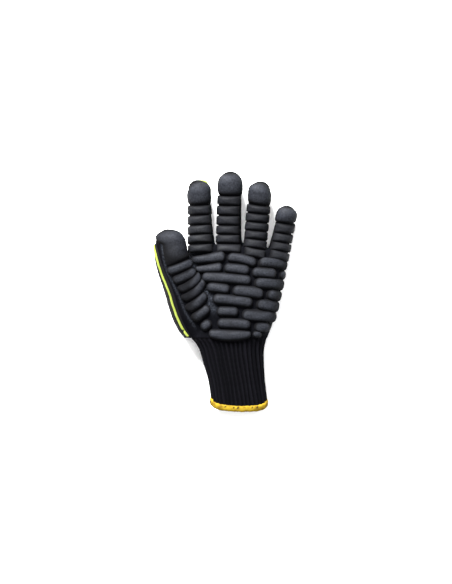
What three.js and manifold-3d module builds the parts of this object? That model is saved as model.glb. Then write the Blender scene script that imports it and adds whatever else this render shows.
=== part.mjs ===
// Anti-vibration work glove for the left hand, lying palm up.
// A knitted liner (cuff, palm, thumb and four finger stalls, all hollow), a bound hem at the wrist,
// moulded foam-rubber pads over the whole gripping side, and impact guards on the thumb and forefinger.
// Millimetres. +Z points up out of the palm, +Y along the middle finger and -X to the thumb.
// The origin is on the flat that the back of the hand rests on, under the middle of the palm.

import * as THREE from "three";
import { mergeVertices } from "three/addons/utils/BufferGeometryUtils.js";
import Module from "manifold-3d";

const wasm = await Module();
wasm.setup();

// Driving sizes of the liner.
const KNIT_WALL = 2;
const SEAT_GAP = 0.3;
const PALM_LENGTH = 101;
const PALM_WIDTH = 103;
const PALM_DEPTH = 28;
const WRIST_WIDTH = 78;
const WRIST_DEPTH = 31;
const CUFF_LENGTH = 64.5;
const CUFF_WIDTH = 59;
const CUFF_DEPTH = 33;
const RIB_COUNT = 36;
const RIB_DEPTH = 0.9;
const THUMB_LENGTH = 116;
const THUMB_SPREAD = 42;
const THUMB_WIDTH = 40;
const THUMB_DEPTH = 29;
const THUMB_LIFT = 23;
const FINGER_CURL = 8;
const REST_DEPTH = 1.2; // how far each rounded section is pressed flat against the surface

// Driving sizes of what is fixed to the liner.
const HEM_HEIGHT = 6.2;
const HEM_THICKNESS = 3.6;
const HEM_SAG = 7;
const HEM_TILT = 0.04;
const PAD_HEIGHT = 4.8;
const BAR_HEIGHT = 4.2;
const GUARD_THICKNESS = 2.2;
const STRIPE_HEIGHT = 1.3;
const STRIP_BEVEL = 0.6;

// How finely each kind of surface is faceted.
const OUTER = { bodySides: 20, digitSides: 12, bodyRings: 5, fingerRings: 2, thumbRings: 6, domeRings: 3 };
const INNER = { bodySides: 14, digitSides: 8, bodyRings: 4, fingerRings: 2, thumbRings: 4, domeRings: 2 };

const WRIST_Y = -PALM_LENGTH / 2;
const CROTCH_Y = PALM_LENGTH / 2;
const CUFF_END_Y = WRIST_Y - CUFF_LENGTH;
const LEAN_AT_CROTCH = 0.065; // the finger roots step down towards the little finger by this slope

const degrees = THREE.MathUtils.degToRad;
const clamp = THREE.MathUtils.clamp;

// Palm sections from the wrist to the finger roots.
// at: share of PALM_LENGTH; left, right: shares of PALM_WIDTH; deep: share of PALM_DEPTH.
const PALM_SECTIONS = [
  { at: 0.12, left: -0.43, right: 0.343, deep: 1.08 },
  { at: 0.26, left: -0.455, right: 0.388, deep: 1.06 },
  { at: 0.44, left: -0.475, right: 0.433, deep: 1.02 },
  { at: 0.62, left: -0.485, right: 0.473, deep: 0.97 },
  { at: 0.8, left: -0.487, right: 0.503, deep: 0.89 },
  { at: 0.94, left: -0.487, right: 0.515, deep: 0.81 },
];
const PALM_DOME_FROM = 0.94;
const PALM_DOME_WIDTH_POWER = 0.3; // the rounded end keeps its width and loses its depth

// Cuff sections from the wrist to the hem. at: share of CUFF_LENGTH; wide: share of CUFF_WIDTH;
// deep: share of CUFF_DEPTH; shift: how far the middle lies along +X, as a share of CUFF_WIDTH.
const CUFF_SECTIONS = [
  { at: 0.09, wide: 1.24, deep: 0.95, shift: -0.1 },
  { at: 0.22, wide: 1.13, deep: 0.96, shift: -0.07 },
  { at: 0.42, wide: 1.07, deep: 0.97, shift: -0.035 },
  { at: 0.7, wide: 1.01, deep: 1.0, shift: 0.015 },
  { at: 1.0, wide: 1.01, deep: 1.06, shift: 0.055 },
];
const WRIST_SHIFT = -0.09; // of WRIST_WIDTH

// Fingers. root_x: share of PALM_WIDTH; root_y: drop below the crotch line as a share of PALM_LENGTH;
// length from there to the tip, width and depth in millimetres; splay in degrees towards +X.
const FINGERS = [
  { name: "index", root_x: -0.352, root_y: 0.022, length: 67, width: 20.8, depth: 20, splay: -2.5 },
  { name: "middle", root_x: -0.075, root_y: 0.022, length: 75.8, width: 21.6, depth: 20.5, splay: 1.1 },
  { name: "ring", root_x: 0.189, root_y: 0.03, length: 67, width: 21, depth: 20, splay: 5.2 },
  { name: "little", root_x: 0.428, root_y: 0.074, length: 46.6, width: 17.8, depth: 17.6, splay: 12.4 },
];
const ROOT_FLARE = 0.12; // how much wider and deeper a finger is at its root
const ROOT_OVERLAP = 18; // length of each finger that lies inside the palm
const SPLIT_ABOVE_ROOT = 7; // where a stall is knitted on to the palm

// Thumb axis and sections from the wrist to the tip. at: share of THUMB_LENGTH;
// out: share of THUMB_SPREAD towards -X; lift: share of THUMB_LIFT; wide, deep: shares of its sizes.
const THUMB_ROOT_X = -0.29; // of PALM_WIDTH
const THUMB_ROOT_Y = -0.515; // of PALM_LENGTH
const THUMB_SECTIONS = [
  { at: 0.0, out: 0.0, lift: 0.6, wide: 0.7, deep: 0.72 },
  { at: 0.12, out: 0.24, lift: 0.64, wide: 0.87, deep: 0.86 },
  { at: 0.23, out: 0.37, lift: 0.68, wide: 0.96, deep: 0.97 },
  { at: 0.34, out: 0.46, lift: 0.72, wide: 1.0, deep: 1.0 },
  { at: 0.46, out: 0.56, lift: 0.77, wide: 0.98, deep: 1.0 },
  { at: 0.57, out: 0.685, lift: 0.83, wide: 0.93, deep: 0.97 },
  { at: 0.67, out: 0.82, lift: 0.89, wide: 0.84, deep: 0.92 },
  { at: 0.76, out: 0.91, lift: 0.94, wide: 0.76, deep: 0.86 },
  { at: 0.865, out: 0.955, lift: 0.98, wide: 0.72, deep: 0.78 },
];
const THUMB_DOME_FROM = 0.865;
const THUMB_SPLIT = 0.695; // share of THUMB_LENGTH where the thumb stall is knitted on

const BODY_ROUNDNESS = 2.7;
const DIGIT_ROUNDNESS = 2.2;

// The value of one column at a place between a table's rows, on a smooth curve through them.
function smoothAt(rows, at, key) {
  const last = rows.length - 1;
  const slope = (k) => {
    const before = rows[Math.max(k - 1, 0)];
    const after = rows[Math.min(k + 1, last)];
    return (after[key] - before[key]) / (after.at - before.at);
  };
  if (at <= rows[0].at) return rows[0][key];
  if (at >= rows[last].at) return rows[last][key];
  const k = rows.findIndex((row, i) => i < last && at <= rows[i + 1].at);
  const step = rows[k + 1].at - rows[k].at;
  const t = (at - rows[k].at) / step;
  const start = rows[k][key] * (1 + 2 * t) * (1 - t) ** 2 + slope(k) * step * t * (1 - t) ** 2;
  const end = rows[k + 1][key] * t * t * (3 - 2 * t) - slope(k + 1) * step * t * t * (1 - t);
  return start + end;
}

// A point on a rounded-rectangle section: shares of the half width and half depth at an angle.
function sectionPoint(angle, roundness) {
  const power = 2 / roundness;
  const c = Math.cos(angle);
  const s = Math.sin(angle);
  return [Math.sign(c) * Math.abs(c) ** power, Math.sign(s) * Math.abs(s) ** power];
}

// How far a rounded end has closed at a station: a share along it, and the share of radius left.
function domeAt(station, start, length) {
  const share = clamp((station - start) / length, 0, 1);
  return { along: share, radius: Math.sqrt(Math.max(0, 1 - share * share)) };
}

// Palm and cuff as one body: rows over the real Y, which the knitted tube follows.
const BODY_ROWS = [
  ...CUFF_SECTIONS.toReversed().map((row) => ({
    at: WRIST_Y - row.at * CUFF_LENGTH,
    half: (row.wide * CUFF_WIDTH) / 2,
    middle: row.shift * CUFF_WIDTH,
    top: row.deep * CUFF_DEPTH,
  })),
  { at: WRIST_Y, half: WRIST_WIDTH / 2, middle: WRIST_SHIFT * WRIST_WIDTH, top: WRIST_DEPTH },
  ...PALM_SECTIONS.map((row) => ({
    at: WRIST_Y + row.at * PALM_LENGTH,
    half: ((row.right - row.left) * PALM_WIDTH) / 2,
    middle: ((row.right + row.left) * PALM_WIDTH) / 2,
    top: row.deep * PALM_DEPTH,
  })),
];

const body = {
  roundness: BODY_ROUNDNESS,
  domeStart: WRIST_Y + PALM_DOME_FROM * PALM_LENGTH,
  domeLength: (1 - PALM_DOME_FROM) * PALM_LENGTH,
  // The slope that the knitted courses take across the hand at a place along it.
  lean(y) {
    return LEAN_AT_CROTCH * clamp((y - WRIST_Y) / PALM_LENGTH, 0, 1);
  },
  // How far the rim hangs past the straight cut, lowest over the middle of the palm side.
  rim(y, angle) {
    const share = clamp((WRIST_Y - y) / CUFF_LENGTH, 0, 1) ** 2;
    return -share * HEM_SAG * Math.max(0, Math.sin(angle));
  },
  point(y, angle, offset) {
    const inEnd = Math.min(y, this.domeStart);
    const dome = domeAt(y, this.domeStart, this.domeLength);
    const half = smoothAt(BODY_ROWS, inEnd, "half");
    const top = smoothAt(BODY_ROWS, inEnd, "top");
    const [across, up] = sectionPoint(angle, this.roundness);
    const low = -REST_DEPTH;
    const reach = (half + offset) * dome.radius ** PALM_DOME_WIDTH_POWER;
    const rise = ((top - low) / 2 + offset) * dome.radius;
    const x = smoothAt(BODY_ROWS, inEnd, "middle") + reach * across;
    const z = (top + low) / 2 + rise * up;
    const along = inEnd + (y > this.domeStart ? (this.domeLength + offset) * dome.along : 0);
    const cuffShare = clamp((WRIST_Y - y) / CUFF_LENGTH, 0, 1);
    const shift = this.rim(y, angle) - this.lean(y) * x - cuffShare * HEM_TILT * x;
    return new THREE.Vector3(x, along + shift, Math.max(z, -offset));
  },
};

// How high the palm stands at a place, or zero beside it.
function palmHeight(x, y) {
  const station = y + body.lean(y) * x;
  const inEnd = Math.min(station, body.domeStart);
  const dome = domeAt(station, body.domeStart, body.domeLength);
  const half = smoothAt(BODY_ROWS, inEnd, "half") * dome.radius ** PALM_DOME_WIDTH_POWER;
  const across = (x - smoothAt(BODY_ROWS, inEnd, "middle")) / half;
  const rise = (smoothAt(BODY_ROWS, inEnd, "top") + REST_DEPTH) / 2;
  if (!(Math.abs(across) < 1)) return 0;
  return rise - REST_DEPTH + rise * dome.radius * (1 - Math.abs(across) ** BODY_ROUNDNESS) ** (1 / BODY_ROUNDNESS);
}

// A digit's skin at a station along it, an angle round it and an offset out of it.
// Angle 0 faces its +X side and a quarter turn faces up.
function digitPoint(digit, station, angle, offset) {
  const inEnd = Math.min(station, digit.domeStart);
  const dome = domeAt(station, digit.domeStart, digit.domeLength);
  const { centre, half, halfDeep, ahead } = digit.section(inEnd);
  const side = new THREE.Vector3(ahead.y, -ahead.x, 0).normalize();
  const up = new THREE.Vector3().crossVectors(side, ahead);
  const [across, high] = sectionPoint(angle, DIGIT_ROUNDNESS);
  const beyond = station > digit.domeStart ? (digit.domeLength + offset) * dome.along : 0;
  const p = centre
    .clone()
    .addScaledVector(ahead, beyond)
    .addScaledVector(side, (half + offset) * dome.radius * across)
    .addScaledVector(up, (halfDeep + offset) * dome.radius * high);
  p.z = Math.max(p.z, -offset);
  return p;
}

function makeFinger(row) {
  const root = new THREE.Vector3(
    row.root_x * PALM_WIDTH,
    CROTCH_Y - row.root_y * PALM_LENGTH,
    0,
  );
  const heading = degrees(row.splay);
  const domeLength = row.width * 0.52;
  const flareOver = row.length * 0.75;
  const finger = {
    name: row.name,
    first: -ROOT_OVERLAP,
    split: SPLIT_ABOVE_ROOT,
    domeStart: row.length - domeLength,
    domeLength,
    centreAt(station) {
      const share = clamp(station / row.length, 0, 1);
      const flare = this.flare(station);
      const rest = (row.depth / 2) * flare - REST_DEPTH;
      return new THREE.Vector3(
        root.x + station * Math.sin(heading),
        root.y + station * Math.cos(heading),
        rest + FINGER_CURL * share * share,
      );
    },
    flare(station) {
      return 1 + ROOT_FLARE * (1 - clamp(station / flareOver, 0, 1)) ** 2;
    },
    section(station) {
      const centre = this.centreAt(station);
      const step = 0.5;
      const ahead = this.centreAt(station + step).sub(this.centreAt(station - step)).normalize();
      const flare = this.flare(station);
      return { centre, ahead, half: (row.width / 2) * flare, halfDeep: (row.depth / 2) * flare };
    },
    point(station, angle, offset) {
      return digitPoint(this, station, angle, offset);
    },
  };
  return finger;
}

const thumb = {
  name: "thumb",
  first: 0,
  split: THUMB_SPLIT * THUMB_LENGTH,
  domeStart: THUMB_DOME_FROM * THUMB_LENGTH,
  domeLength: (1 - THUMB_DOME_FROM) * THUMB_LENGTH,
  centreAt(station) {
    const at = station / THUMB_LENGTH;
    return new THREE.Vector3(
      THUMB_ROOT_X * PALM_WIDTH - smoothAt(THUMB_SECTIONS, at, "out") * THUMB_SPREAD,
      THUMB_ROOT_Y * PALM_LENGTH + station,
      smoothAt(THUMB_SECTIONS, at, "lift") * THUMB_LIFT,
    );
  },
  section(station) {
    const at = station / THUMB_LENGTH;
    const step = 0.5;
    const ahead = this.centreAt(station + step).sub(this.centreAt(station - step)).normalize();
    return {
      centre: this.centreAt(station),
      ahead,
      half: (smoothAt(THUMB_SECTIONS, at, "wide") * THUMB_WIDTH) / 2,
      halfDeep: (smoothAt(THUMB_SECTIONS, at, "deep") * THUMB_DEPTH) / 2,
    };
  },
  point(station, angle, offset) {
    return digitPoint(this, station, angle, offset);
  },
};

const fingers = FINGERS.map(makeFinger);
const digits = [thumb, ...fingers];

// A closed solid from an indexed triangle list.
function solidFrom(points, triangles) {
  const geometry = new THREE.BufferGeometry().setFromPoints(points);
  geometry.setIndex(triangles);
  const merged = mergeVertices(geometry, 1e-4);
  const index = merged.index.array;
  const kept = [];
  for (let i = 0; i < index.length; i += 3) {
    const [a, b, c] = [index[i], index[i + 1], index[i + 2]];
    if (a !== b && b !== c && c !== a) kept.push(a, b, c);
  }
  const mesh = new wasm.Mesh({
    numProp: 3,
    vertProperties: merged.attributes.position.array,
    triVerts: new Uint32Array(kept),
  });
  return new wasm.Manifold(mesh);
}

// Two triangles for each cell between rings of equal length, closed round.
function ringTriangles(ringCount, sides) {
  const triangles = [];
  for (let r = 0; r < ringCount - 1; r++) {
    for (let s = 0; s < sides; s++) {
      const a = r * sides + s;
      const b = r * sides + ((s + 1) % sides);
      triangles.push(a, b, a + sides, b, b + sides, a + sides);
    }
  }
  return triangles;
}

// A tube through rings, which run anticlockwise seen from the far end, with a fan over each end.
function loft(rings) {
  const sides = rings[0].length;
  const points = rings.flat();
  const triangles = ringTriangles(rings.length, sides);
  const middle = (ring) => ring.reduce((sum, p) => sum.add(p), new THREE.Vector3()).divideScalar(sides);
  points.push(middle(rings[0]), middle(rings.at(-1)));
  const lastRing = (rings.length - 1) * sides;
  for (let s = 0; s < sides; s++) {
    const next = (s + 1) % sides;
    triangles.push(points.length - 2, next, s);
    triangles.push(points.length - 1, lastRing + s, lastRing + next);
  }
  return faceOut(solidFrom(points, triangles));
}

// The same solid with its faces pointing out.
function faceOut(solid) {
  if (solid.volume() >= 0) return solid;
  const mesh = solid.getMesh();
  const turned = mesh.triVerts.slice();
  for (let i = 0; i < turned.length; i += 3) {
    [turned[i + 1], turned[i + 2]] = [turned[i + 2], turned[i + 1]];
  }
  return new wasm.Manifold(
    new wasm.Mesh({ numProp: 3, vertProperties: mesh.vertProperties, triVerts: turned }),
  );
}

const spread = (from, to, count) =>
  Array.from({ length: count + 1 }, (_, i) => from + ((to - from) * i) / count);

// Angles that share a body section's outline into equal lengths.
function evenAngles(y, count) {
  const fine = 720;
  const lengths = [0];
  let before = body.point(y, 0, 0);
  for (let i = 1; i <= fine; i++) {
    const here = body.point(y, (i / fine) * 2 * Math.PI, 0);
    lengths.push(lengths[i - 1] + here.distanceTo(before));
    before = here;
  }
  let i = 0;
  return spread(0, lengths[fine], count).slice(0, count).map((length) => {
    while (lengths[i + 1] < length) i++;
    const part = (length - lengths[i]) / (lengths[i + 1] - lengths[i]);
    return ((i + part) / fine) * 2 * Math.PI;
  });
}

// Stations from one place to the start of a rounded end, then on to its tip.
function stationsTo(limb, first, count, domeRings) {
  const dome = spread(0, Math.PI / 2, domeRings)
    .slice(1)
    .map((turn) => limb.domeStart + limb.domeLength * Math.sin(turn));
  return [...spread(first, limb.domeStart, count), ...dome];
}

function limbSolid(digit, offset, facets) {
  const angles = spread(0, 2 * Math.PI, facets.digitSides).slice(0, facets.digitSides);
  const count = digit === thumb ? facets.thumbRings : facets.fingerRings;
  const rings = stationsTo(digit, digit.first, count, facets.domeRings).map((station) =>
    angles.map((angle) => digit.point(station, angle, offset)),
  );
  return loft(rings);
}

function palmSolid(offset, facets, extraLength) {
  const rings = stationsTo(body, WRIST_Y, facets.bodyRings, facets.domeRings).map((y) =>
    evenAngles(Math.min(y, body.domeStart), facets.bodySides).map((angle) => body.point(y, angle, offset)),
  );
  if (extraLength > 0) {
    rings.unshift(rings[0].map((p) => p.clone().add(new THREE.Vector3(0, -extraLength, 0))));
  }
  return loft(rings);
}

// Everything that the knitted hand fills out to, grown or shrunk by an offset.
function handSolid(offset, facets, extraLength = 0) {
  return digits.reduce(
    (whole, digit) => whole.add(limbSolid(digit, offset, facets)),
    palmSolid(offset, facets, extraLength),
  );
}

// What lies beyond a digit's split, square across its axis, grown by an offset.
function beyondSplit(digit, offset, shift) {
  const { centre, ahead } = digit.section(digit.split + shift);
  return limbSolid(digit, offset, OUTER).trimByPlane(ahead.toArray(), ahead.dot(centre));
}

const handOutside = handSolid(0, OUTER).trimByPlane([0, 1, 0], WRIST_Y);
const handInside = handSolid(-KNIT_WALL, INNER, KNIT_WALL);

function stallSolid(digit) {
  return beyondSplit(digit, 0, SEAT_GAP / 2).subtract(limbSolid(digit, -KNIT_WALL, INNER));
}

function palmShell() {
  return digits.reduce(
    (shell, digit) => shell.subtract(beyondSplit(digit, SEAT_GAP, -SEAT_GAP / 2)),
    handOutside.subtract(handInside),
  );
}

// Ribbed cuff: rounded ribs run along the tube and fade out where the palm begins.
const RIB_FACETS = 2;
const RIB_FADE = 9;

function cuffSolid() {
  const sides = RIB_COUNT * RIB_FACETS;
  const first = WRIST_Y - SEAT_GAP;
  const stations = [first, ...spread(first - RIB_FADE, CUFF_END_Y, 3)];
  const outer = stations.map((y) => {
    const fade = clamp((first - y) / RIB_FADE, 0, 1);
    return evenAngles(y, sides).map((angle, i) => {
      const wave = Math.cos((i / RIB_FACETS) * 2 * Math.PI);
      return body.point(y, angle, (RIB_DEPTH / 2) * fade * (wave - 1));
    });
  });
  const innerStations = [first + KNIT_WALL, ...spread(first - RIB_FADE, CUFF_END_Y - KNIT_WALL, 3)];
  const inner = innerStations.map((y) =>
    evenAngles(y, INNER.bodySides).map((angle) => body.point(y, angle, -KNIT_WALL)),
  );
  return loft(outer.toReversed()).subtract(loft(inner.toReversed()));
}

// Hem: an oval roll of overlocked yarn carried round the end of the cuff.
const HEM_STEPS = 28;
const HEM_FACETS = 6;

function hemSolid() {
  const rings = evenAngles(CUFF_END_Y, HEM_STEPS).map((angle) =>
    spread(0, 2 * Math.PI, HEM_FACETS).slice(0, HEM_FACETS).map((turn) => {
      const [out, along] = sectionPoint(turn, 3);
      const offset = (HEM_THICKNESS / 2) * out - KNIT_WALL / 2;
      const y = (HEM_HEIGHT / 2) * (along - 1) - SEAT_GAP;
      const p = body.point(CUFF_END_Y, angle, offset);
      return new THREE.Vector3(p.x, p.y + y, Math.max(p.z, 0));
    }),
  );
  const triangles = ringTriangles(rings.length + 1, HEM_FACETS).map(
    (index) => index % (rings.length * HEM_FACETS),
  );
  return faceOut(solidFrom(rings.flat(), triangles));
}

// A pad is a grid of places on a surface, each raised along the surface's own normal by its height
// and closed by the same grid below, then cut back to sit on the knit.
const PAD_SINK = 1.3;
const RIM_SINK = 0.25;
const seat = handSolid(SEAT_GAP, OUTER);

// The point at a distance out of a surface that is a function of two parameters.
function raise(surface, [u, v], distance) {
  const step = 0.02;
  const p = surface(u, v);
  const alongU = surface(u + step, v).sub(surface(u - step, v));
  const alongV = surface(u, v + step / 10).sub(surface(u, v - step / 10));
  return p.addScaledVector(alongU.cross(alongV).normalize(), distance);
}

// A sheet with a top and an underside, from rows of places { at, high, low } on a surface.
function sheetSolid(surface, rows) {
  const columns = rows[0].length;
  const places = rows.flat();
  const points = [
    ...places.map(({ at, high }) => raise(surface, at, high)),
    ...places.map(({ at, low }) => raise(surface, at, low)),
  ];
  const under = places.length;
  const triangles = [];
  for (let r = 0; r < rows.length - 1; r++) {
    for (let c = 0; c < columns - 1; c++) {
      const a = r * columns + c;
      const [b, d, e] = [a + 1, a + columns, a + columns + 1];
      triangles.push(a, b, d, b, e, d);
      triangles.push(under + a, under + d, under + b, under + b, under + d, under + e);
    }
  }
  const rim = [
    ...Array.from({ length: columns - 1 }, (_, c) => [c + 1, c]),
    ...Array.from({ length: rows.length - 1 }, (_, r) => [r * columns, (r + 1) * columns]),
    ...Array.from({ length: columns - 1 }, (_, c) => [under - columns + c, under - columns + c + 1]),
    ...Array.from({ length: rows.length - 1 }, (_, r) => [(r + 2) * columns - 1, (r + 1) * columns - 1]),
  ];
  rim.forEach(([a, b]) => triangles.push(a, b, under + a, b, under + b, under + a));
  return faceOut(solidFrom(points, triangles));
}

// Height of a padded bar across itself: a full round back that falls steeply at its edges.
const roundBack = (share, power) => Math.max(0, 1 - Math.abs(share) ** power) ** (1 / power);

// Pads on a digit, from the tip down. to: where each ends, as a share of the digit's length;
// left, right: the angles in degrees at which it ends on each side of the digit.
const DIGIT_PADS = {
  thumb: [
    { to: 0.745, left: 128, right: -20 },
    { to: 0.665, left: 116, right: 8 },
    { to: 0.585, left: 112, right: 30 },
    { to: 0.505, left: 108, right: 18 },
    { to: 0.42, left: 106, right: 18 },
    { to: 0.32, left: 98, right: 24 },
    { to: 0.235, left: 90, right: 34 },
    { to: 0.16, left: 76, right: 42 },
  ],
  index: [
    { to: 0.655, left: 196, right: -8 },
    { to: 0.496, left: 198, right: 4 },
    { to: 0.342, left: 198, right: 8 },
    { to: 0.182, left: 196, right: 12 },
    { to: 0.035, left: 190, right: 16 },
    { to: -0.09, left: 176, right: 20 },
  ],
  middle: [
    { to: 0.705, left: 190, right: -8 },
    { to: 0.568, left: 196, right: 2 },
    { to: 0.426, left: 196, right: 6 },
    { to: 0.29, left: 194, right: 8 },
    { to: 0.155, left: 190, right: 10 },
    { to: 0.03, left: 178, right: 12 },
    { to: -0.09, left: 170, right: 14 },
  ],
  ring: [
    { to: 0.668, left: 190, right: -12 },
    { to: 0.53, left: 184, right: -16 },
    { to: 0.396, left: 182, right: -16 },
    { to: 0.258, left: 180, right: -16 },
    { to: 0.115, left: 176, right: -12 },
    { to: -0.03, left: 168, right: 2 },
    { to: -0.155, left: 160, right: 16 },
  ],
  little: [
    { to: 0.672, left: 190, right: -14 },
    { to: 0.428, left: 184, right: -18 },
    { to: 0.212, left: 180, right: -18 },
    { to: 0.012, left: 174, right: -18 },
    { to: -0.18, left: 160, right: -8 },
  ],
};
const TIP_REACH = 70; // degrees round the rounded end to which the tip pad runs
const TIP_STEPS = 3;
const STRIP_COLUMNS = 6;
const GROOVE = 0.55; // share of BAR_HEIGHT left at the bottom of a groove
const THUMB_SLANT = 7; // how far a thumb bar climbs towards the palm
const PAD_CLEARANCE = 0.4; // kept between the thumb's pads and the palm's

// The pads of one digit as a strip; room grows it all round, for clearance.
function digitPads(digit, rows, room = 0) {
  const length = digit.domeStart + digit.domeLength;
  const turnRoom = (room / (THUMB_WIDTH / 2)) * (180 / Math.PI);
  const surface = (station, angle) => {
    const p = digit.point(station, angle, 0);
    if (digit !== thumb) p.z = Math.max(p.z, palmHeight(p.x, p.y));
    return p;
  };
  const places = [];
  const course = (station, left, right, crest, climb, fullness) => {
    places.push(
      spread(-1, 1, STRIP_COLUMNS).map((column) => {
        const across = Math.sin((column * Math.PI) / 2);
        const angle = degrees((left + right) / 2 + ((right - left) / 2 - turnRoom) * across);
        const height = room + BAR_HEIGHT * crest * roundBack(across, fullness);
        const at = [station + climb * Math.cos(angle), angle];
        return { at, high: height > 0.01 ? SEAT_GAP + height : SEAT_GAP - RIM_SINK, low: -PAD_SINK };
      }),
    );
  };
  const [tip, ...bars] = rows;
  spread(0, 1, TIP_STEPS).forEach((share) => {
    const turn = degrees(TIP_REACH * (1 - share));
    const crest = share === 0 ? 0 : roundBack(1 - share, 3);
    course(digit.domeStart + digit.domeLength * Math.sin(turn), tip.left, tip.right, crest, 0, 2.2);
  });
  const tipEnd = tip.to * length;
  course(tipEnd + (digit.domeStart - tipEnd) * 0.3, tip.left, tip.right, 0.97, 0, 2.2);
  let from = tipEnd;
  bars.forEach((bar, k) => {
    const before = rows[k];
    const climb = digit === thumb ? THUMB_SLANT * Math.min(1, (k + 1) / 2) : 0;
    course(from, (bar.left + before.left) / 2, (bar.right + before.right) / 2, GROOVE, climb, 2);
    const to = bar.to * length;
    [0.27, 0.73].forEach((share) => {
      course(from + (to - from) * share, bar.left, bar.right, 1, climb, 2);
    });
    from = to;
  });
  const end = bars.at(-1);
  course(from, end.left, end.right, 0, digit === thumb ? THUMB_SLANT : 0, 2);
  return sheetSolid(surface, places).subtract(seat);
}

const thumbRoom = digitPads(thumb, DIGIT_PADS.thumb, PAD_CLEARANCE);

// Pads on the palm, row by row from the finger roots to the heel of the hand.
// x1, x2: the ends as shares of PALM_WIDTH; y1, y2: as shares of PALM_LENGTH from the palm's middle;
// wide: share of ROW_PITCH; bow: how far the middle rises towards the fingers, share of ROW_PITCH.
const ROW_PITCH = 11.5;
const PALM_PADS = [
  { x1: -0.443, y1: 0.333, x2: -0.116, y2: 0.359, wide: 0.8, bow: -0.04 },
  { x1: -0.092, y1: 0.348, x2: 0.198, y2: 0.296, wide: 0.76, bow: 0.17 },
  { x1: 0.219, y1: 0.297, x2: 0.58, y2: 0.262, wide: 0.86, bow: 0.06 },
  { x1: -0.405, y1: 0.222, x2: -0.145, y2: 0.248, wide: 0.74, bow: 0.03 },
  { x1: -0.126, y1: 0.241, x2: 0.133, y2: 0.208, wide: 0.82, bow: 0.05 },
  { x1: 0.157, y1: 0.193, x2: 0.405, y2: 0.175, wide: 0.84, bow: 0.04 },
  { x1: 0.434, y1: 0.163, x2: 0.57, y2: 0.155, wide: 0.74, bow: 0 },
  { x1: -0.349, y1: 0.146, x2: 0.15, y2: 0.104, wide: 0.84, bow: 0.06 },
  { x1: 0.175, y1: 0.082, x2: 0.56, y2: 0.048, wide: 0.86, bow: 0.04 },
  { x1: -0.302, y1: 0.041, x2: -0.068, y2: 0.015, wide: 0.82, bow: 0.03 },
  { x1: -0.04, y1: 0.004, x2: 0.274, y2: -0.037, wide: 0.9, bow: 0.1 },
  { x1: 0.3, y1: -0.033, x2: 0.53, y2: -0.066, wide: 0.82, bow: 0.02 },
  { x1: -0.24, y1: -0.078, x2: 0.164, y2: -0.126, wide: 0.86, bow: 0.04 },
  { x1: 0.198, y1: -0.13, x2: 0.5, y2: -0.178, wide: 0.86, bow: 0.03 },
  { x1: -0.2, y1: -0.212, x2: 0.019, y2: -0.218, wide: 0.78, bow: 0.02 },
  { x1: 0.055, y1: -0.238, x2: 0.45, y2: -0.276, wide: 0.9, bow: 0.04 },
  { x1: -0.193, y1: -0.334, x2: 0.143, y2: -0.352, wide: 0.84, bow: 0.04 },
  { x1: 0.182, y1: -0.368, x2: 0.345, y2: -0.368, wide: 0.84, bow: 0.02 },
  { x1: -0.279, y1: -0.436, x2: 0.147, y2: -0.443, wide: 0.82, bow: -0.05 },
  { x1: 0.164, y1: -0.449, x2: 0.252, y2: -0.449, wide: 0.5, bow: 0 },
];
const PAD_COLUMNS = 4;
const BEND_STEPS = 1;
const EDGE_FROM = 0.93; // share of the half width past which a pad follows the skin down the side
const EDGE_RADIUS = 16;

// The angle round the palm of a place given by how far across it lies.
function palmAngle(x, y) {
  const half = smoothAt(BODY_ROWS, y, "half");
  const out = x - smoothAt(BODY_ROWS, y, "middle");
  const flat = EDGE_FROM * half;
  const onTop = clamp(out, -flat, flat) / half;
  const angle = Math.acos(Math.sign(onTop) * Math.abs(onTop) ** (BODY_ROUNDNESS / 2));
  const past = Math.max(0, Math.abs(out) - flat) / EDGE_RADIUS;
  return angle - Math.sign(out) * past;
}

function palmPad(row) {
  const surface = (y, angle) => body.point(y, angle, 0);
  const start = new THREE.Vector2(row.x1 * PALM_WIDTH, row.y1 * PALM_LENGTH);
  const end = new THREE.Vector2(row.x2 * PALM_WIDTH, row.y2 * PALM_LENGTH);
  const length = start.distanceTo(end);
  const along = end.clone().sub(start).divideScalar(length);
  const half = (row.wide * ROW_PITCH) / 2;
  const capShare = Math.min(0.9, half / (length / 2));
  const steps = [1, 1 - capShare * 0.15, 1 - capShare * 0.65];
  const shares = [
    ...steps.map((share) => -share),
    ...(length > 4 * half ? spread(-0.35, 0.35, BEND_STEPS) : []),
    ...steps.toReversed(),
  ];
  const places = shares.map((share) => {
    const inCap = clamp((Math.abs(share) - (1 - capShare)) / capShare, 0, 1);
    const width = half * Math.max(roundBack(inCap, 2.2), 0.12);
    return spread(-1, 1, PAD_COLUMNS).map((column) => {
      const across = Math.sin((column * Math.PI) / 2);
      const centre = start.clone().lerp(end, (share + 1) / 2);
      const shift = width * across + row.bow * ROW_PITCH * (1 - share * share);
      const x = centre.x - along.y * shift;
      const y = centre.y + along.x * shift;
      const height = PAD_HEIGHT * roundBack(across, 2.6) * roundBack(inCap, 2.4);
      const station = y + body.lean(y) * x;
      const high = height > 0.01 ? SEAT_GAP + height : SEAT_GAP - RIM_SINK;
      return { at: [station, palmAngle(x, station)], high, low: -PAD_SINK };
    });
  });
  return sheetSolid(surface, places).subtract(seat).subtract(thumbRoom);
}

// A moulded strip along a digit. Each row: at, a share of the digit's length, and the angles in degrees
// between which it lies; low, high: how far its underside and its top are out of the knit.
function strip(digit, rows, columns, low, high) {
  const length = digit.domeStart + digit.domeLength;
  const surface = (station, angle) => digit.point(station, angle, 0);
  const places = rows.map((row, r) =>
    spread(0, 1, columns).map((share, c) => {
      const rim = r === 0 || c === 0 || r === rows.length - 1 || c === columns;
      const angle = degrees(row.left + (row.right - row.left) * share);
      return { at: [row.at * length, angle], high: rim ? high - STRIP_BEVEL : high, low };
    }),
  );
  return sheetSolid(surface, places);
}

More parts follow.
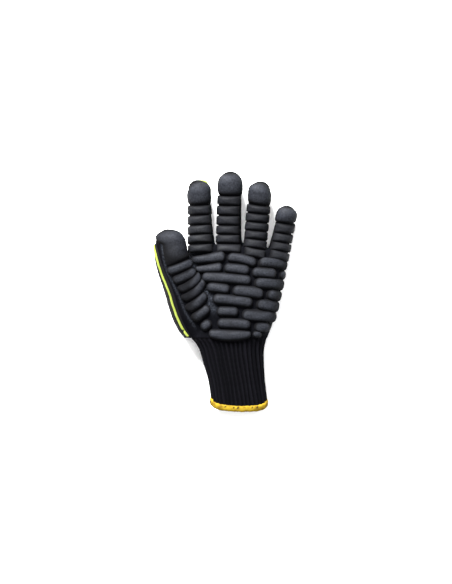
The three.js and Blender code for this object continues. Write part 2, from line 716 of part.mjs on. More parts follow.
const THUMB_GUARD = [
  { at: 0.15, left: 205, right: 148 },
  { at: 0.24, left: 205, right: 136 },
  { at: 0.34, left: 205, right: 128 },
  { at: 0.44, left: 205, right: 124 },
  { at: 0.54, left: 205, right: 124 },
  { at: 0.63, left: 205, right: 126 },
  { at: 0.71, left: 205, right: 131 },
  { at: 0.79, left: 205, right: 140 },
  { at: 0.865, left: 205, right: 154 },
];
const STRIPE_RIGHT = 5; // degrees that the stripe lies inside the guard's upper edge
const STRIPE_SPAN = 9;
const INDEX_GUARD = [
  { at: 0.7, left: 310, right: 250 },
  { at: 0.8, left: 322, right: 250 },
  { at: 0.9, left: 335, right: 250 },
  { at: 0.975, left: 343, right: 240 },
];

const LIME = 0xb6e62a;
const finish = {
  knit: new THREE.MeshStandardMaterial({ color: 0x101014, roughness: 0.95, metalness: 0 }),
  rib_knit: new THREE.MeshStandardMaterial({ color: 0x0e0e12, roughness: 0.95, metalness: 0 }),
  hem_yarn: new THREE.MeshStandardMaterial({ color: 0xf2b705, roughness: 0.9, metalness: 0 }),
  foam_rubber: new THREE.MeshStandardMaterial({ color: 0x3c3d44, roughness: 0.75, metalness: 0 }),
  guard_rubber: new THREE.MeshStandardMaterial({ color: 0x141416, roughness: 0.5, metalness: 0 }),
  lime_rubber: new THREE.MeshStandardMaterial({ color: LIME, roughness: 0.5, metalness: 0 }),
};

const glove = new THREE.Group();

// Adds a solid to the glove as a named mesh with its finish.
function place(name, solid, material) {
  const mesh = solid.getMesh();
  const geometry = new THREE.BufferGeometry();
  geometry.setAttribute("position", new THREE.BufferAttribute(new Float32Array(mesh.vertProperties), 3));
  geometry.setIndex(new THREE.BufferAttribute(new Uint32Array(mesh.triVerts), 1));
  geometry.computeVertexNormals();
  const part = new THREE.Mesh(geometry, material);
  part.name = name;
  glove.add(part);
}

place("palm_shell", palmShell(), finish.knit);
digits.forEach((digit) => place(`${digit.name}_stall`, stallSolid(digit), finish.knit));
place("cuff", cuffSolid(), finish.rib_knit);
place("hem", hemSolid(), finish.hem_yarn);
digits.forEach((digit) =>
  place(`${digit.name}_pads`, digitPads(digit, DIGIT_PADS[digit.name]), finish.foam_rubber),
);
PALM_PADS.forEach((row, i) =>
  place(`palm_pad_${String(i + 1).padStart(2, "0")}`, palmPad(row), finish.foam_rubber),
);
const stripe = THUMB_GUARD.map(({ at, right }) => ({
  at,
  left: right + STRIPE_RIGHT + STRIPE_SPAN,
  right: right + STRIPE_RIGHT,
}));
const guardTop = SEAT_GAP + GUARD_THICKNESS;
const stripeLow = guardTop + SEAT_GAP;
place("thumb_guard", strip(thumb, THUMB_GUARD, 4, -PAD_SINK, guardTop).subtract(seat), finish.guard_rubber);
place("thumb_stripe", strip(thumb, stripe, 2, stripeLow, stripeLow + STRIPE_HEIGHT), finish.lime_rubber);
place("index_guard", strip(fingers[0], INDEX_GUARD, 4, -PAD_SINK, guardTop).subtract(seat), finish.lime_rubber);

export default glove;
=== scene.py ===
# %% [markdown]
# # An anti-vibration glove, palm up
# This notebook dresses a left-hand work glove that lies on its back. A knitted black liner carries
# foam-rubber pads over the whole gripping side. The CAD model is the frame: it gives the size, and
# each piece made here stands for one or more of its nodes.

import bmesh
import bpy
import numpy as np
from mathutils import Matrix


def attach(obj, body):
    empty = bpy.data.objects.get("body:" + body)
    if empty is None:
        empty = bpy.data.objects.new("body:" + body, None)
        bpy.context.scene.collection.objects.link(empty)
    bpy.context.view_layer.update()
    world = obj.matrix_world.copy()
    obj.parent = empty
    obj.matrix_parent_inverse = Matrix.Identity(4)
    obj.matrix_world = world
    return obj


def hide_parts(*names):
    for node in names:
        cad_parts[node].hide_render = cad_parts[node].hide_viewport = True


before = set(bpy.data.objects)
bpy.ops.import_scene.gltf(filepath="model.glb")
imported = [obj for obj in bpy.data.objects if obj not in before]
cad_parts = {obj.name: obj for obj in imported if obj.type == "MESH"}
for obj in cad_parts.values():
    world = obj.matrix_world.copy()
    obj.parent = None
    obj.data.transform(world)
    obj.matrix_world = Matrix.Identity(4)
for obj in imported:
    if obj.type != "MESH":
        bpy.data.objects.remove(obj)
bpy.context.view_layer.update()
MM = 0.001

# %% [markdown]
# ## The hand as a few sections
# The knitted hand is a palm and five tubes. Each is a row of rounded sections along an axis, and each
# ends in a dome. Sizes are in millimetres, and the tables hold shares of them, so one number resizes a
# whole part. A sculpted mesh could have the same form, but nobody could resize it by its palm's width.

# %% Driving sizes
PALM_LENGTH = 101
PALM_WIDTH = 103
PALM_DEPTH = 28
WRIST_WIDTH = 79.4
WRIST_DEPTH = 31
WRIST_SHIFT = -0.09
CUFF_LENGTH = 63.7
CUFF_WIDTH = 59
CUFF_DEPTH = 33
THUMB_LENGTH = 116
THUMB_SPREAD = 42
THUMB_WIDTH = 40
THUMB_DEPTH = 29
THUMB_LIFT = 23
THUMB_ROOT = (-0.29, -0.515)
FINGER_CURL = 8
REST_DEPTH = 1.2
HEM_SAG = 6.6
HEM_TILT = 0.024
FINGER_ROOT_LEAN = 0.065
WRIST_Y = -PALM_LENGTH / 2
CROTCH_Y = PALM_LENGTH / 2
CUFF_END_Y = WRIST_Y - CUFF_LENGTH
PALM_ROUNDNESS = 2.7
DIGIT_ROUNDNESS = 2.2

# at: share of PALM_LENGTH from the wrist; left, right: shares of PALM_WIDTH; deep: share of PALM_DEPTH
PALM_SECTIONS = {
    "at": [0.12, 0.26, 0.44, 0.62, 0.8, 0.94],
    "left": [-0.43, -0.455, -0.475, -0.485, -0.487, -0.487],
    "right": [0.362, 0.4, 0.438, 0.475, 0.503, 0.515],
    "deep": [1.08, 1.06, 1.02, 0.97, 0.89, 0.81],
}
# at: share of CUFF_LENGTH from the wrist; wide, shift: shares of CUFF_WIDTH; deep: share of CUFF_DEPTH
CUFF_SECTIONS = {
    "at": [0.09, 0.22, 0.42, 0.7, 1.0],
    "wide": [1.245, 1.15, 1.09, 1.02, 1.01],
    "deep": [0.95, 0.96, 0.97, 1.0, 1.06],
    "shift": [-0.097, -0.073, -0.042, 0.011, 0.055],
}
# at: share of THUMB_LENGTH; out, lift, wide, deep: shares of the thumb's spread, lift, width and depth
THUMB_SECTIONS = {
    "at": [0.0, 0.12, 0.23, 0.34, 0.46, 0.57, 0.67, 0.76, 0.865],
    "out": [0.0, 0.24, 0.37, 0.46, 0.56, 0.685, 0.82, 0.91, 0.955],
    "lift": [0.6, 0.64, 0.68, 0.72, 0.77, 0.83, 0.89, 0.94, 0.98],
    "wide": [0.7, 0.87, 0.96, 1.0, 0.98, 0.93, 0.84, 0.76, 0.72],
    "deep": [0.72, 0.86, 0.97, 1.0, 1.0, 0.97, 0.92, 0.86, 0.78],
}
# root: shares of the palm's width and length; length, width, depth in millimetres; splay in degrees;
# flare: how much wider the root is; tip_lean: how far the very tip lies to the right, in millimetres
FINGERS = {
    "index": dict(
        root=(-0.35, 0.022), length=67.4, width=21.6, depth=20, splay=-2.9, flare=0.24, tip_lean=-1.8
    ),
    "middle": dict(root=(-0.067, 0.022), length=76.2, width=23.1, depth=20.5, splay=1.0, flare=0.1),
    "ring": dict(root=(0.193, 0.03), length=67, width=21, depth=20, splay=5.4, tip_lean=0.9),
    "little": dict(root=(0.439, 0.074), length=46.6, width=18.4, depth=17.6, splay=12.8),
}
print("fingers:", ", ".join(FINGERS))

# %% [markdown]
# ## Curves through a table
# A knitted tube has no corners along its length, so a smooth curve goes through the rows of a table. Each
# piece of it is a cubic whose slopes come from the rows on either side. Blender's own curves could do it,
# but this works on whole arrays. The rounded section and the dome that all tubes share are here too.

# %% Curves, the rounded section and the dome
def smooth_at(table, key, at):
    """Value of a column between its rows: a cubic through each pair of rows, whose slopes are those
    of the straight line between the rows on either side."""
    x = np.array(table["at"], float)
    y = np.array(table[key], float)
    before = np.maximum(np.arange(len(x)) - 1, 0)
    after = np.minimum(np.arange(len(x)) + 1, len(x) - 1)
    slope = (y[after] - y[before]) / (x[after] - x[before])
    at = np.clip(at, x[0], x[-1])
    k = np.clip(np.searchsorted(x, at) - 1, 0, len(x) - 2)
    step = x[k + 1] - x[k]
    t = (at - x[k]) / step
    start = y[k] * (1 + 2 * t) * (1 - t) ** 2 + slope[k] * step * t * (1 - t) ** 2
    end = y[k + 1] * t**2 * (3 - 2 * t) - slope[k + 1] * step * t**2 * (1 - t)
    return start + end


def section_point(angle, roundness):
    """Shares of the half width and half depth: cosine and sine, each raised to two over the roundness."""
    c, s = np.cos(angle), np.sin(angle)
    power = 2 / roundness
    return np.sign(c) * np.abs(c) ** power, np.sign(s) * np.abs(s) ** power


def dome(station, start, length):
    """How far along a rounded end a station is, and the share of the radius left there: a quarter circle."""
    share = np.clip((station - start) / length, 0, 1)
    return share, np.sqrt(np.maximum(0, 1 - share**2))


def round_back(share, power):
    """Height across a pillow: full in the middle, falling steeply to nothing at a share of one."""
    return np.maximum(0, 1 - np.abs(share) ** power) ** (1 / power)


# %% [markdown]
# ## The palm and cuff
# On the real glove the palm runs into the cuff without a seam, so one table of sections covers both. The
# section is a rounded rectangle, cut flat where the back of the hand lies on the floor. The place along
# the hand and the angle round it are the two parameters of the surface.

# %% The palm and cuff as one surface
def body_table():
    """Half width, middle and top of the palm and cuff against the real place along the hand."""
    cuff_at = WRIST_Y - np.array(CUFF_SECTIONS["at"]) * CUFF_LENGTH
    palm_at = WRIST_Y + np.array(PALM_SECTIONS["at"]) * PALM_LENGTH
    left, right = (np.array(PALM_SECTIONS[side]) * PALM_WIDTH for side in ("left", "right"))
    cuff_half = np.array(CUFF_SECTIONS["wide"]) * CUFF_WIDTH / 2
    cuff_middle = np.array(CUFF_SECTIONS["shift"]) * CUFF_WIDTH
    cuff_top = np.array(CUFF_SECTIONS["deep"]) * CUFF_DEPTH
    palm_top = np.array(PALM_SECTIONS["deep"]) * PALM_DEPTH
    return {
        "at": [*cuff_at[::-1], WRIST_Y, *palm_at],
        "half": [*cuff_half[::-1], WRIST_WIDTH / 2, *((right - left) / 2)],
        "middle": [*cuff_middle[::-1], WRIST_SHIFT * WRIST_WIDTH, *((right + left) / 2)],
        "top": [*cuff_top[::-1], WRIST_DEPTH, *palm_top],
    }


BODY = body_table()
PALM_DOME_FROM = WRIST_Y + 0.9 * PALM_LENGTH
PALM_DOME_LENGTH = 0.06 * PALM_LENGTH
PALM_DOME_WIDTH_POWER = 0.3


def lean(y):
    """Slope that the courses take across the hand, growing evenly from the wrist to the finger roots."""
    return FINGER_ROOT_LEAN * np.clip((y - WRIST_Y) / PALM_LENGTH, 0, 1)


def body_point(y, angle, offset=0.0):
    """The palm's or cuff's skin at a place along it and an angle round it: a rounded rectangle, cut flat
    at the floor, with a dome past the finger roots and a rim that sags on the palm side of the cuff."""
    in_end = np.minimum(y, PALM_DOME_FROM)
    along, radius = dome(y, PALM_DOME_FROM, PALM_DOME_LENGTH)
    across, up = section_point(angle, PALM_ROUNDNESS)
    top = smooth_at(BODY, "top", in_end)
    x = smooth_at(BODY, "middle", in_end)
    x = x + (smooth_at(BODY, "half", in_end) + offset) * radius**PALM_DOME_WIDTH_POWER * across
    z = (top - REST_DEPTH) / 2 + ((top + REST_DEPTH) / 2 + offset) * radius * up
    cuff_share = np.clip((WRIST_Y - y) / CUFF_LENGTH, 0, 1)
    sag = cuff_share**2 * HEM_SAG * np.maximum(0, np.sin(angle))
    real_y = in_end + (PALM_DOME_LENGTH + offset) * along - sag - (lean(y) + cuff_share * HEM_TILT) * x
    return np.stack(np.broadcast_arrays(x, real_y, np.maximum(z, -offset)), -1)


def soft_max(first, second, softness=1.0):
    """The larger of two heights, rounded over where they are nearly the same."""
    return np.maximum(first, second) + softness * np.log1p(np.exp(-np.abs(first - second) / softness))


def palm_height(x, y):
    """How high the palm's top stands over the floor at a plan place, or zero beside it."""
    station = y + lean(y) * x
    in_end = np.minimum(station, PALM_DOME_FROM)
    _, radius = dome(station, PALM_DOME_FROM, PALM_DOME_LENGTH)
    half = smooth_at(BODY, "half", in_end) * np.maximum(radius, 1e-6) ** PALM_DOME_WIDTH_POWER
    across = np.abs(x - smooth_at(BODY, "middle", in_end)) / half
    rise = (smooth_at(BODY, "top", in_end) + REST_DEPTH) / 2
    top = rise - REST_DEPTH + rise * radius * round_back(across, PALM_ROUNDNESS)
    return np.where((across < 1) & (radius > 0), top, 0)


print("palm width at mid length:", round(2 * float(smooth_at(BODY, "half", 0.0)), 1), "mm")

# %% [markdown]
# ## Fingers and thumb
# An empty glove's fingers rise a little towards their tips, so each is a tube round a gently bent axis. A
# class holds what all five share: the skin at a station and an angle, and the height over a place in
# plan. The fingers and the thumb only differ in their axis and their widths.

# %% A digit is a tube along a gently bent axis
NEAREST_STEPS = 4


class Digit:
    """A finger or the thumb: an axis, the half sizes along it, and a domed tip."""

    step = 0.5
    tip_lean = 0.0

    def axis(self, station):
        """Centre, direction, sideways and upward unit vectors at a station, from neighbouring centres."""
        centre = self.centre(station)
        ahead = self.centre(station + self.step) - self.centre(station - self.step)
        ahead /= np.linalg.norm(ahead, axis=-1, keepdims=True)
        side = np.stack([ahead[..., 1], -ahead[..., 0], np.zeros_like(ahead[..., 0])], -1)
        side /= np.linalg.norm(side, axis=-1, keepdims=True)
        return centre, ahead, side, np.cross(side, ahead)

    def point(self, station, angle, offset=0.0):
        """The skin at a station and an angle, moved out by an offset. An angle of zero faces +X, and a
        quarter turn faces up."""
        station, angle, offset = np.broadcast_arrays(np.asarray(station, float), angle, offset)
        in_end = np.minimum(station, self.dome_start)
        along, radius = dome(station, self.dome_start, self.dome_length)
        centre, ahead, side, up = self.axis(in_end)
        half, deep = self.half_sizes(in_end)
        across, high = section_point(angle, DIGIT_ROUNDNESS)
        p = centre + ahead * ((self.dome_length + offset) * along)[..., None]
        p = p + side * ((half + offset) * radius * across + self.tip_lean * along**2)[..., None]
        p = p + up * ((deep + offset) * radius * high)[..., None]
        p[..., 2] = np.maximum(p[..., 2], -offset)
        return p

    def height(self, x, y):
        """How high the digit's top stands at a plan place: its section over the nearest axis point, which
        a few steps along the axis find."""
        station = y - self.centre(0.0)[..., 1]
        for _ in range(NEAREST_STEPS):
            centre, ahead, side, _up = self.axis(np.minimum(station, self.dome_start))
            gap = np.stack([x, y], -1) - centre[..., :2]
            station = np.minimum(station, self.dome_start) + (gap * ahead[..., :2]).sum(-1)
        _, radius = dome(station, self.dome_start, self.dome_length)
        half, deep = self.half_sizes(np.minimum(station, self.dome_start))
        across = np.abs((gap * side[..., :2]).sum(-1)) / (half * np.maximum(radius, 1e-6))
        top = centre[..., 2] + deep * radius * round_back(across, DIGIT_ROUNDNESS)
        inside = (across < 1) & (radius > 0) & (station > self.first)
        return np.where(inside, top, 0)


class Finger(Digit):
    """A finger. Its tube starts inside the palm, and past the split it is clear of its neighbours."""

    first = -18
    split = 7
    dome_share = 0.52
    flare_reach = 0.75

    def __init__(self, name, root, length, width, depth, splay, flare=0.12, tip_lean=0.0):
        self.name = name
        self.root = np.array([root[0] * PALM_WIDTH, CROTCH_Y - root[1] * PALM_LENGTH])
        self.length = length
        self.width = width
        self.depth = depth
        self.heading = np.radians(splay)
        self.flare = flare
        self.tip_lean = tip_lean
        self.dome_length = self.dome_share * width
        self.dome_start = length - self.dome_length

    def grown(self, station):
        """One plus the flare at the root, which fades as a square over most of the finger."""
        return 1 + self.flare * (1 - np.clip(station / (self.flare_reach * self.length), 0, 1)) ** 2

    def centre(self, station):
        """Straight in plan, rising towards the tip as the square of the share of the length."""
        station = np.asarray(station, float)
        rest = self.depth / 2 * self.grown(station) - REST_DEPTH
        rise = FINGER_CURL * np.clip(station / self.length, 0, 1) ** 2
        x = self.root[0] + station * np.sin(self.heading)
        y = self.root[1] + station * np.cos(self.heading)
        return np.stack([x, y, rest + rise], -1)

    def half_sizes(self, station):
        """Half the width and half the depth, both grown by the flare."""
        return self.width / 2 * self.grown(station), self.depth / 2 * self.grown(station)


class Thumb(Digit):
    """The thumb, whose axis, lift and widths come from a table."""

    name = "thumb"
    first = 0
    length = THUMB_LENGTH
    tip_lean = -1.3
    dome_start = 0.865 * THUMB_LENGTH
    dome_length = 0.135 * THUMB_LENGTH
    split = 0.695 * THUMB_LENGTH

    def centre(self, station):
        """Forward along +Y, out towards -X and up by the shares in the table."""
        station = np.asarray(station, float)
        at = station / THUMB_LENGTH
        x = THUMB_ROOT[0] * PALM_WIDTH - smooth_at(THUMB_SECTIONS, "out", at) * THUMB_SPREAD
        y = THUMB_ROOT[1] * PALM_LENGTH + station
        return np.stack([x, y, smooth_at(THUMB_SECTIONS, "lift", at) * THUMB_LIFT], -1)

    def half_sizes(self, station):
        """Half the width and half the depth by the shares in the table."""
        at = station / THUMB_LENGTH
        wide = smooth_at(THUMB_SECTIONS, "wide", at) * THUMB_WIDTH / 2
        return wide, smooth_at(THUMB_SECTIONS, "deep", at) * THUMB_DEPTH / 2


thumb = Thumb()
fingers = [Finger(name, **sizes) for name, sizes in FINGERS.items()]
digits = [thumb, *fingers]
print("tips at y =", [round(float(d.point(d.length, 0.0)[1]), 1) for d in digits], "mm")

# %% [markdown]
# ## From a grid of points to a mesh
# Every new surface is a grid: rows along the piece and columns across or round it. One helper turns any
# such grid into a mesh, closes it round if it is a tube, and writes a UV map in millimetres, so that a
# knit or a grain can follow the surface.

# %% Grids into meshes
WELD_DISTANCE = 0.01


def grid_faces(rows, columns, wrap):
    """Corner numbers of each quad of a grid, and their row and column for the UV map."""
    across = columns if wrap else columns - 1
    r, c = np.meshgrid(np.arange(rows - 1), np.arange(across), indexing="ij")
    corner_rows = np.stack([r, r, r + 1, r + 1], -1).reshape(-1, 4)
    corner_columns = np.stack([c, c + 1, c + 1, c], -1).reshape(-1, 4)
    return corner_rows * columns + corner_columns % columns, corner_rows, corner_columns


def make_object(name, points, faces, uv=None):
    """An object at the origin whose smooth-shaded mesh holds the points, given in millimetres."""
    mesh = bpy.data.meshes.new(name)
    mesh.from_pydata(np.asarray(points).reshape(-1, 3) * MM, [], faces)
    if uv is not None:
        layer = mesh.uv_layers.new(name="surface")
        layer.data.foreach_set("uv", np.asarray(uv, np.float32).ravel())
    mesh.polygons.foreach_set("use_smooth", np.ones(len(mesh.polygons), bool))
    mesh.update()
    piece = bpy.data.objects.new(name, mesh)
    bpy.context.scene.collection.objects.link(piece)
    return piece


def vertices_of(piece):
    """The places of a piece's vertices in millimetres."""
    flat = np.empty(len(piece.data.vertices) * 3, np.float32)
    piece.data.vertices.foreach_get("co", flat)
    return flat.reshape(-1, 3) / MM


def close_and_turn_out(piece):
    """Welds doubles and makes every face point out of the closed piece."""
    work = bmesh.new()
    work.from_mesh(piece.data)
    bmesh.ops.remove_doubles(work, verts=work.verts, dist=WELD_DISTANCE * MM)
    bmesh.ops.recalc_face_normals(work, faces=work.faces)
    work.to_mesh(piece.data)
    work.free()
    piece.data.update()
    return piece


def join(name, pieces):
    """One object from several, made by Blender's own join."""
    for o in bpy.context.selected_objects:
        o.select_set(False)
    for piece in pieces:
        piece.select_set(True)
    bpy.context.view_layer.objects.active = pieces[0]
    bpy.ops.object.join()
    pieces[0].name = name
    pieces[0].data.name = name
    return pieces[0]


# %% [markdown]
# ## The knitted hand
# The real liner is knitted in one piece, so the palm flows into each finger with a soft fold between
# them. Six closed tubes are merged by a voxel remesh and smoothed, which rounds the folds as knitting
# does. The wrist end is then cut open and the skin gets a wall on its inner side.

# %% Merge the tubes
LINER_VOXEL = 1.25
LINER_WALL = 1.7
LINER_SMOOTHING = 6
# How far the skin and the tips swell out, to win back what smoothing takes
LINER_REGAIN = 0.4
TIP_REGAIN = 0.8
# How far a finger's far end is drawn in, and how deep in the palm that begins
ROOT_SINK = 7
ROOT_SINK_FROM = 5
TUBE_COLUMNS = 72
PALM_ROWS = 60
DIGIT_ROWS = 48
PALM_OVERRUN = 8


def closed_tube(name, rings):
    """A tube through rings of points, with each end closed by a fan of triangles to its middle."""
    rows, columns, _ = rings.shape
    faces, _, _ = grid_faces(rows, columns, wrap=True)
    points = np.concatenate([rings.reshape(-1, 3), rings[0].mean(0)[None], rings[-1].mean(0)[None]])
    around = np.arange(columns)
    last = (rows - 1) * columns
    following = (around + 1) % columns
    first_fan = np.stack([np.full(columns, len(points) - 2), following, around], -1)
    last_fan = np.stack([np.full(columns, len(points) - 1), last + around, last + following], -1)
    return make_object(name, points, faces.tolist() + first_fan.tolist() + last_fan.tolist())


def stations_to_tip(first, dome_start, dome_length, rows, dome_rows=10):
    """Even steps along a limb, then steps of equal angle round its dome."""
    turn = np.linspace(0, np.pi / 2, dome_rows + 1)[1:]
    return np.concatenate([np.linspace(first, dome_start, rows), dome_start + dome_length * np.sin(turn)])


def limb_tubes():
    """The palm and the digits as closed tubes. Each finger's far end inside the palm is drawn in as a
    square of the distance, so that no rim of it shows; each tip is a little fuller, as smoothing takes
    some of it."""
    angles = np.linspace(0, 2 * np.pi, TUBE_COLUMNS, endpoint=False)
    along = stations_to_tip(WRIST_Y - PALM_OVERRUN, PALM_DOME_FROM, PALM_DOME_LENGTH, PALM_ROWS)
    tubes = [closed_tube("palm", body_point(along[:, None], angles[None]))]
    for digit in digits:
        along = stations_to_tip(digit.first, digit.dome_start, digit.dome_length, DIGIT_ROWS)
        towards_tip = np.clip((along - digit.dome_start) / digit.dome_length + 0.5, 0, 1)
        towards_root = np.clip((-along - ROOT_SINK_FROM) / (-digit.first - ROOT_SINK_FROM), 0, 1)
        change = (TIP_REGAIN * towards_tip - ROOT_SINK * towards_root**2) * (digit is not thumb)
        tubes.append(closed_tube(digit.name, digit.point(along[:, None], angles[None], change[:, None])))
    return tubes


def baked(piece):
    """The mesh of a piece with its modifiers applied, put in place of its own."""
    graph = bpy.context.evaluated_depsgraph_get()
    mesh = bpy.data.meshes.new_from_object(piece.evaluated_get(graph))
    piece.modifiers.clear()
    piece.data = mesh
    return piece


def swell_out(piece, distance):
    """Moves every vertex along its normal, to win back what smoothing took."""
    count = len(piece.data.vertices)
    place, normal = np.empty(count * 3, np.float32), np.empty(count * 3, np.float32)
    piece.data.vertices.foreach_get("co", place)
    piece.data.vertices.foreach_get("normal", normal)
    moved = (place + normal * distance * MM).reshape(-1, 3)
    moved[:, 2] = np.maximum(moved[:, 2], 0)
    piece.data.vertices.foreach_set("co", moved.ravel())
    piece.data.update()


liner = join("knit_liner", [close_and_turn_out(tube) for tube in limb_tubes()])
remesh = liner.modifiers.new("merge", "REMESH")
remesh.mode = "VOXEL"
remesh.voxel_size = LINER_VOXEL * MM
smoothing = liner.modifiers.new("soften", "SMOOTH")
smoothing.factor = 0.5
smoothing.iterations = LINER_SMOOTHING
baked(liner)
swell_out(liner, LINER_REGAIN)
print("merged liner:", len(liner.data.polygons), "faces")

# %% [markdown]
# ## The skin's own coordinates
# Stitches run round and along the knit, so the skin needs coordinates that do the same: they become its
# UV map. Two more values a vertex say where foam rubber has soaked into the knit and where it is rubbed.
# They could be painted by hand, but a line in plan and a few named places are easier to change.

# %% Cutting the wrist open, and distances along the knit
SIDE_FROM = 0.75
SIDE_FADE = 0.2
DIGIT_REACH = 1.25


def open_wrist(piece):
    """Cuts the closed skin square across at the wrist and drops what lies beyond."""
    work = bmesh.new()
    work.from_mesh(piece.data)
    geometry = [*work.verts, *work.edges, *work.faces]
    bmesh.ops.bisect_plane(
        work, geom=geometry, plane_co=(0, WRIST_Y * MM, 0), plane_no=(0, -1, 0), clear_outer=True
    )
    work.to_mesh(piece.data)
    work.free()
    piece.data.update()


def knit_coordinates(points):
    """Distance round and along the knit in millimetres. On a digit it is measured from that digit's own
    axis; on the palm it is the distance across, carried on down the sides."""
    x, y, z = points.T
    middle = smooth_at(BODY, "middle", y)
    half = smooth_at(BODY, "half", y)
    share = np.clip((np.abs(x - middle) / half - SIDE_FROM) / SIDE_FADE, 0, 1)
    around = (x - middle) - np.sign(x - middle) * share * (z - PALM_DEPTH / 2)
    along = y + lean(y) * x
    for digit in digits:
        station = y - digit.centre(0.0)[1]
        centre, _ahead, side, up = digit.axis(np.clip(station, digit.first, digit.dome_start))
        gap = points - centre
        wide = digit.half_sizes(np.array(digit.split))[0]
        sideways = (gap * side).sum(-1)
        mine = (station > digit.split) & (np.abs(sideways) < DIGIT_REACH * wide)
        turn = np.arctan2(sideways, (gap * up).sum(-1))
        around = np.where(mine, turn * wide, around)
        along = np.where(mine, station, along)
    return np.stack([around, along], -1)


# %% [markdown]
# ## Where the knit was dipped
# Foam rubber soaks a little into the knit between the pads. Its edge runs from the thumb's tip round the
# heel of the hand to the little finger, and is rubbed pale beside the thumb's bars. A few more places
# between the pads are rubbed too. All of them are plan places in millimetres, read off the photograph.

# %% Dipped and rubbed places
COAT_EDGE = np.array(
    [
        (-84, 62), (-79, 52), (-78, 42), (-75.5, 26), (-72.6, 17), (-68, 8.5), (-62, -4.2), (-57.6, -14.7),
        (-52.4, -27), (-46.5, -36), (-37.5, -47), (-10, -53.5), (18, -51), (32, -47), (42, -38), (75, -30),
        (75, 140), (-84, 140),
    ]
)
COAT_SOFTNESS = 1.2
COAT_FACING_FROM = -0.1
COAT_FACING_FADE = 0.35
SCUFFS = [(-27, -8), (-27.5, -15), (-24, -20), (-30, -2), (-45, 26), (-44, 15), (-48, 38)]
SCUFF_RADIUS = 3.8
RUBBED_EDGE = 1.1
RUBBED_LEFT_OF = -44
RUBBED_BELOW = 50
RUBBED_FADE = 2


def inside_by(points, outline):
    """Signed distance in plan from a closed outline: above zero inside. The nearest of all edges gives
    the size; the number of edges crossed on the way out gives the sign."""
    start, end = outline, np.roll(outline, -1, axis=0)
    edge = end - start
    to = points[:, None, :] - start[None]
    share = np.clip((to * edge).sum(-1) / (edge**2).sum(-1), 0, 1)
    distance = np.linalg.norm(to - share[..., None] * edge, axis=-1).min(-1)
    x, y = points[:, :1], points[:, 1:]
    spans = (start[:, 1] > y) != (end[:, 1] > y)
    rise = np.where(edge[:, 1] == 0, 1, edge[:, 1])
    crossed = spans & (x < start[:, 0] + (y - start[:, 1]) / rise * edge[:, 0])
    return np.where(crossed.sum(-1) % 2 == 1, distance, -distance)


def write_value(piece, name, values):
    """Gives each vertex one value, which a material reads by its name."""
    layer = piece.data.attributes.new(name, "FLOAT", "POINT")
    layer.data.foreach_set("value", np.asarray(values, np.float32))


def write_coat(piece):
    """Two values a vertex. Coat is one where the palm side was dipped, fading at its edge and down the
    sides; scuffed is a bell curve of the distance to the nearest rubbed place or to the edge by the thumb."""
    flat = np.empty(len(piece.data.vertices) * 3, np.float32)
    piece.data.vertices.foreach_get("normal", flat)
    facing = np.clip((flat.reshape(-1, 3)[:, 2] - COAT_FACING_FROM) / COAT_FACING_FADE, 0, 1)
    plan = vertices_of(piece)[:, :2]
    inside = inside_by(plan, COAT_EDGE)
    write_value(piece, "coat", facing * np.clip(inside / COAT_SOFTNESS + 0.5, 0, 1))
    away = np.linalg.norm(plan[:, None] - np.array(SCUFFS)[None], axis=-1).min(-1) / SCUFF_RADIUS
    along_edge = np.abs(inside - 1) / RUBBED_EDGE
    along_edge += np.clip((plan[:, 0] - RUBBED_LEFT_OF) / RUBBED_FADE, 0, 3)
    along_edge += np.clip((plan[:, 1] - RUBBED_BELOW) / RUBBED_FADE, 0, 3)
    scuffed = facing * np.exp(-(np.minimum(away, along_edge) ** 2))
    write_value(piece, "scuffed", scuffed)


# %% Give the skin its coordinates, its coat and its wall
def write_vertex_uv(piece, values):
    """Puts each vertex's pair of values on every face corner of a UV map."""
    corner_vertex = np.empty(len(piece.data.loops), np.int64)
    piece.data.loops.foreach_get("vertex_index", corner_vertex)
    layer = piece.data.uv_layers.new(name="surface")
    layer.data.foreach_set("uv", values[corner_vertex].astype(np.float32).ravel())


open_wrist(liner)
write_vertex_uv(liner, knit_coordinates(vertices_of(liner)))
write_coat(liner)
liner.data.polygons.foreach_set("use_smooth", np.ones(len(liner.data.polygons), bool))
wall = liner.modifiers.new("wall", "SOLIDIFY")
wall.thickness = LINER_WALL * MM
wall.offset = -1
print("liner rests at z =", round(float(vertices_of(liner)[:, 2].min()), 2), "mm")

# %% [markdown]
# ## The ribbed cuff
# The cuff is knitted in ribs that squeeze the wrist. Each rib is a soft ridge that runs the length of
# the cuff and fades out where the hand begins. A cosine wave round the section gives the ridges; the
# inner wall follows the same wave more weakly.

# %% Cuff surface
RIB_COUNT = 36
RIB_DEPTH = 1.7
RIB_PITCH = 4.9
RIB_FADE = 10
RIB_TWIST = 0.35
RIB_WAVER = 0.05
RIB_SAMPLES = 12
INNER_RIB_SHARE = 0.35
CUFF_WALL = 1.8
CUFF_TUCK = 3
CUFF_TUCK_DEPTH = 0.9
CUFF_REACH = 2.5
CUFF_ROWS = 68
OUTLINE_SAMPLES = 1441


def even_angles(y, count):
    """Angles that share the section's outline into equal lengths."""
    fine = np.linspace(0, 2 * np.pi, OUTLINE_SAMPLES)
    outline = body_point(np.full_like(fine, y), fine)
    length = np.concatenate([[0], np.cumsum(np.linalg.norm(np.diff(outline, axis=0), axis=-1))])
    return np.interp(np.linspace(0, length[-1], count, endpoint=False), length, fine)


def rib_number(column, y):
    """Which rib a column of the grid is on: it twists slowly along the cuff and wavers a little."""
    rib = column / RIB_SAMPLES
    return rib + RIB_TWIST * (WRIST_Y - y) / CUFF_LENGTH + RIB_WAVER * np.sin(rib * 1.7 + y / 9)


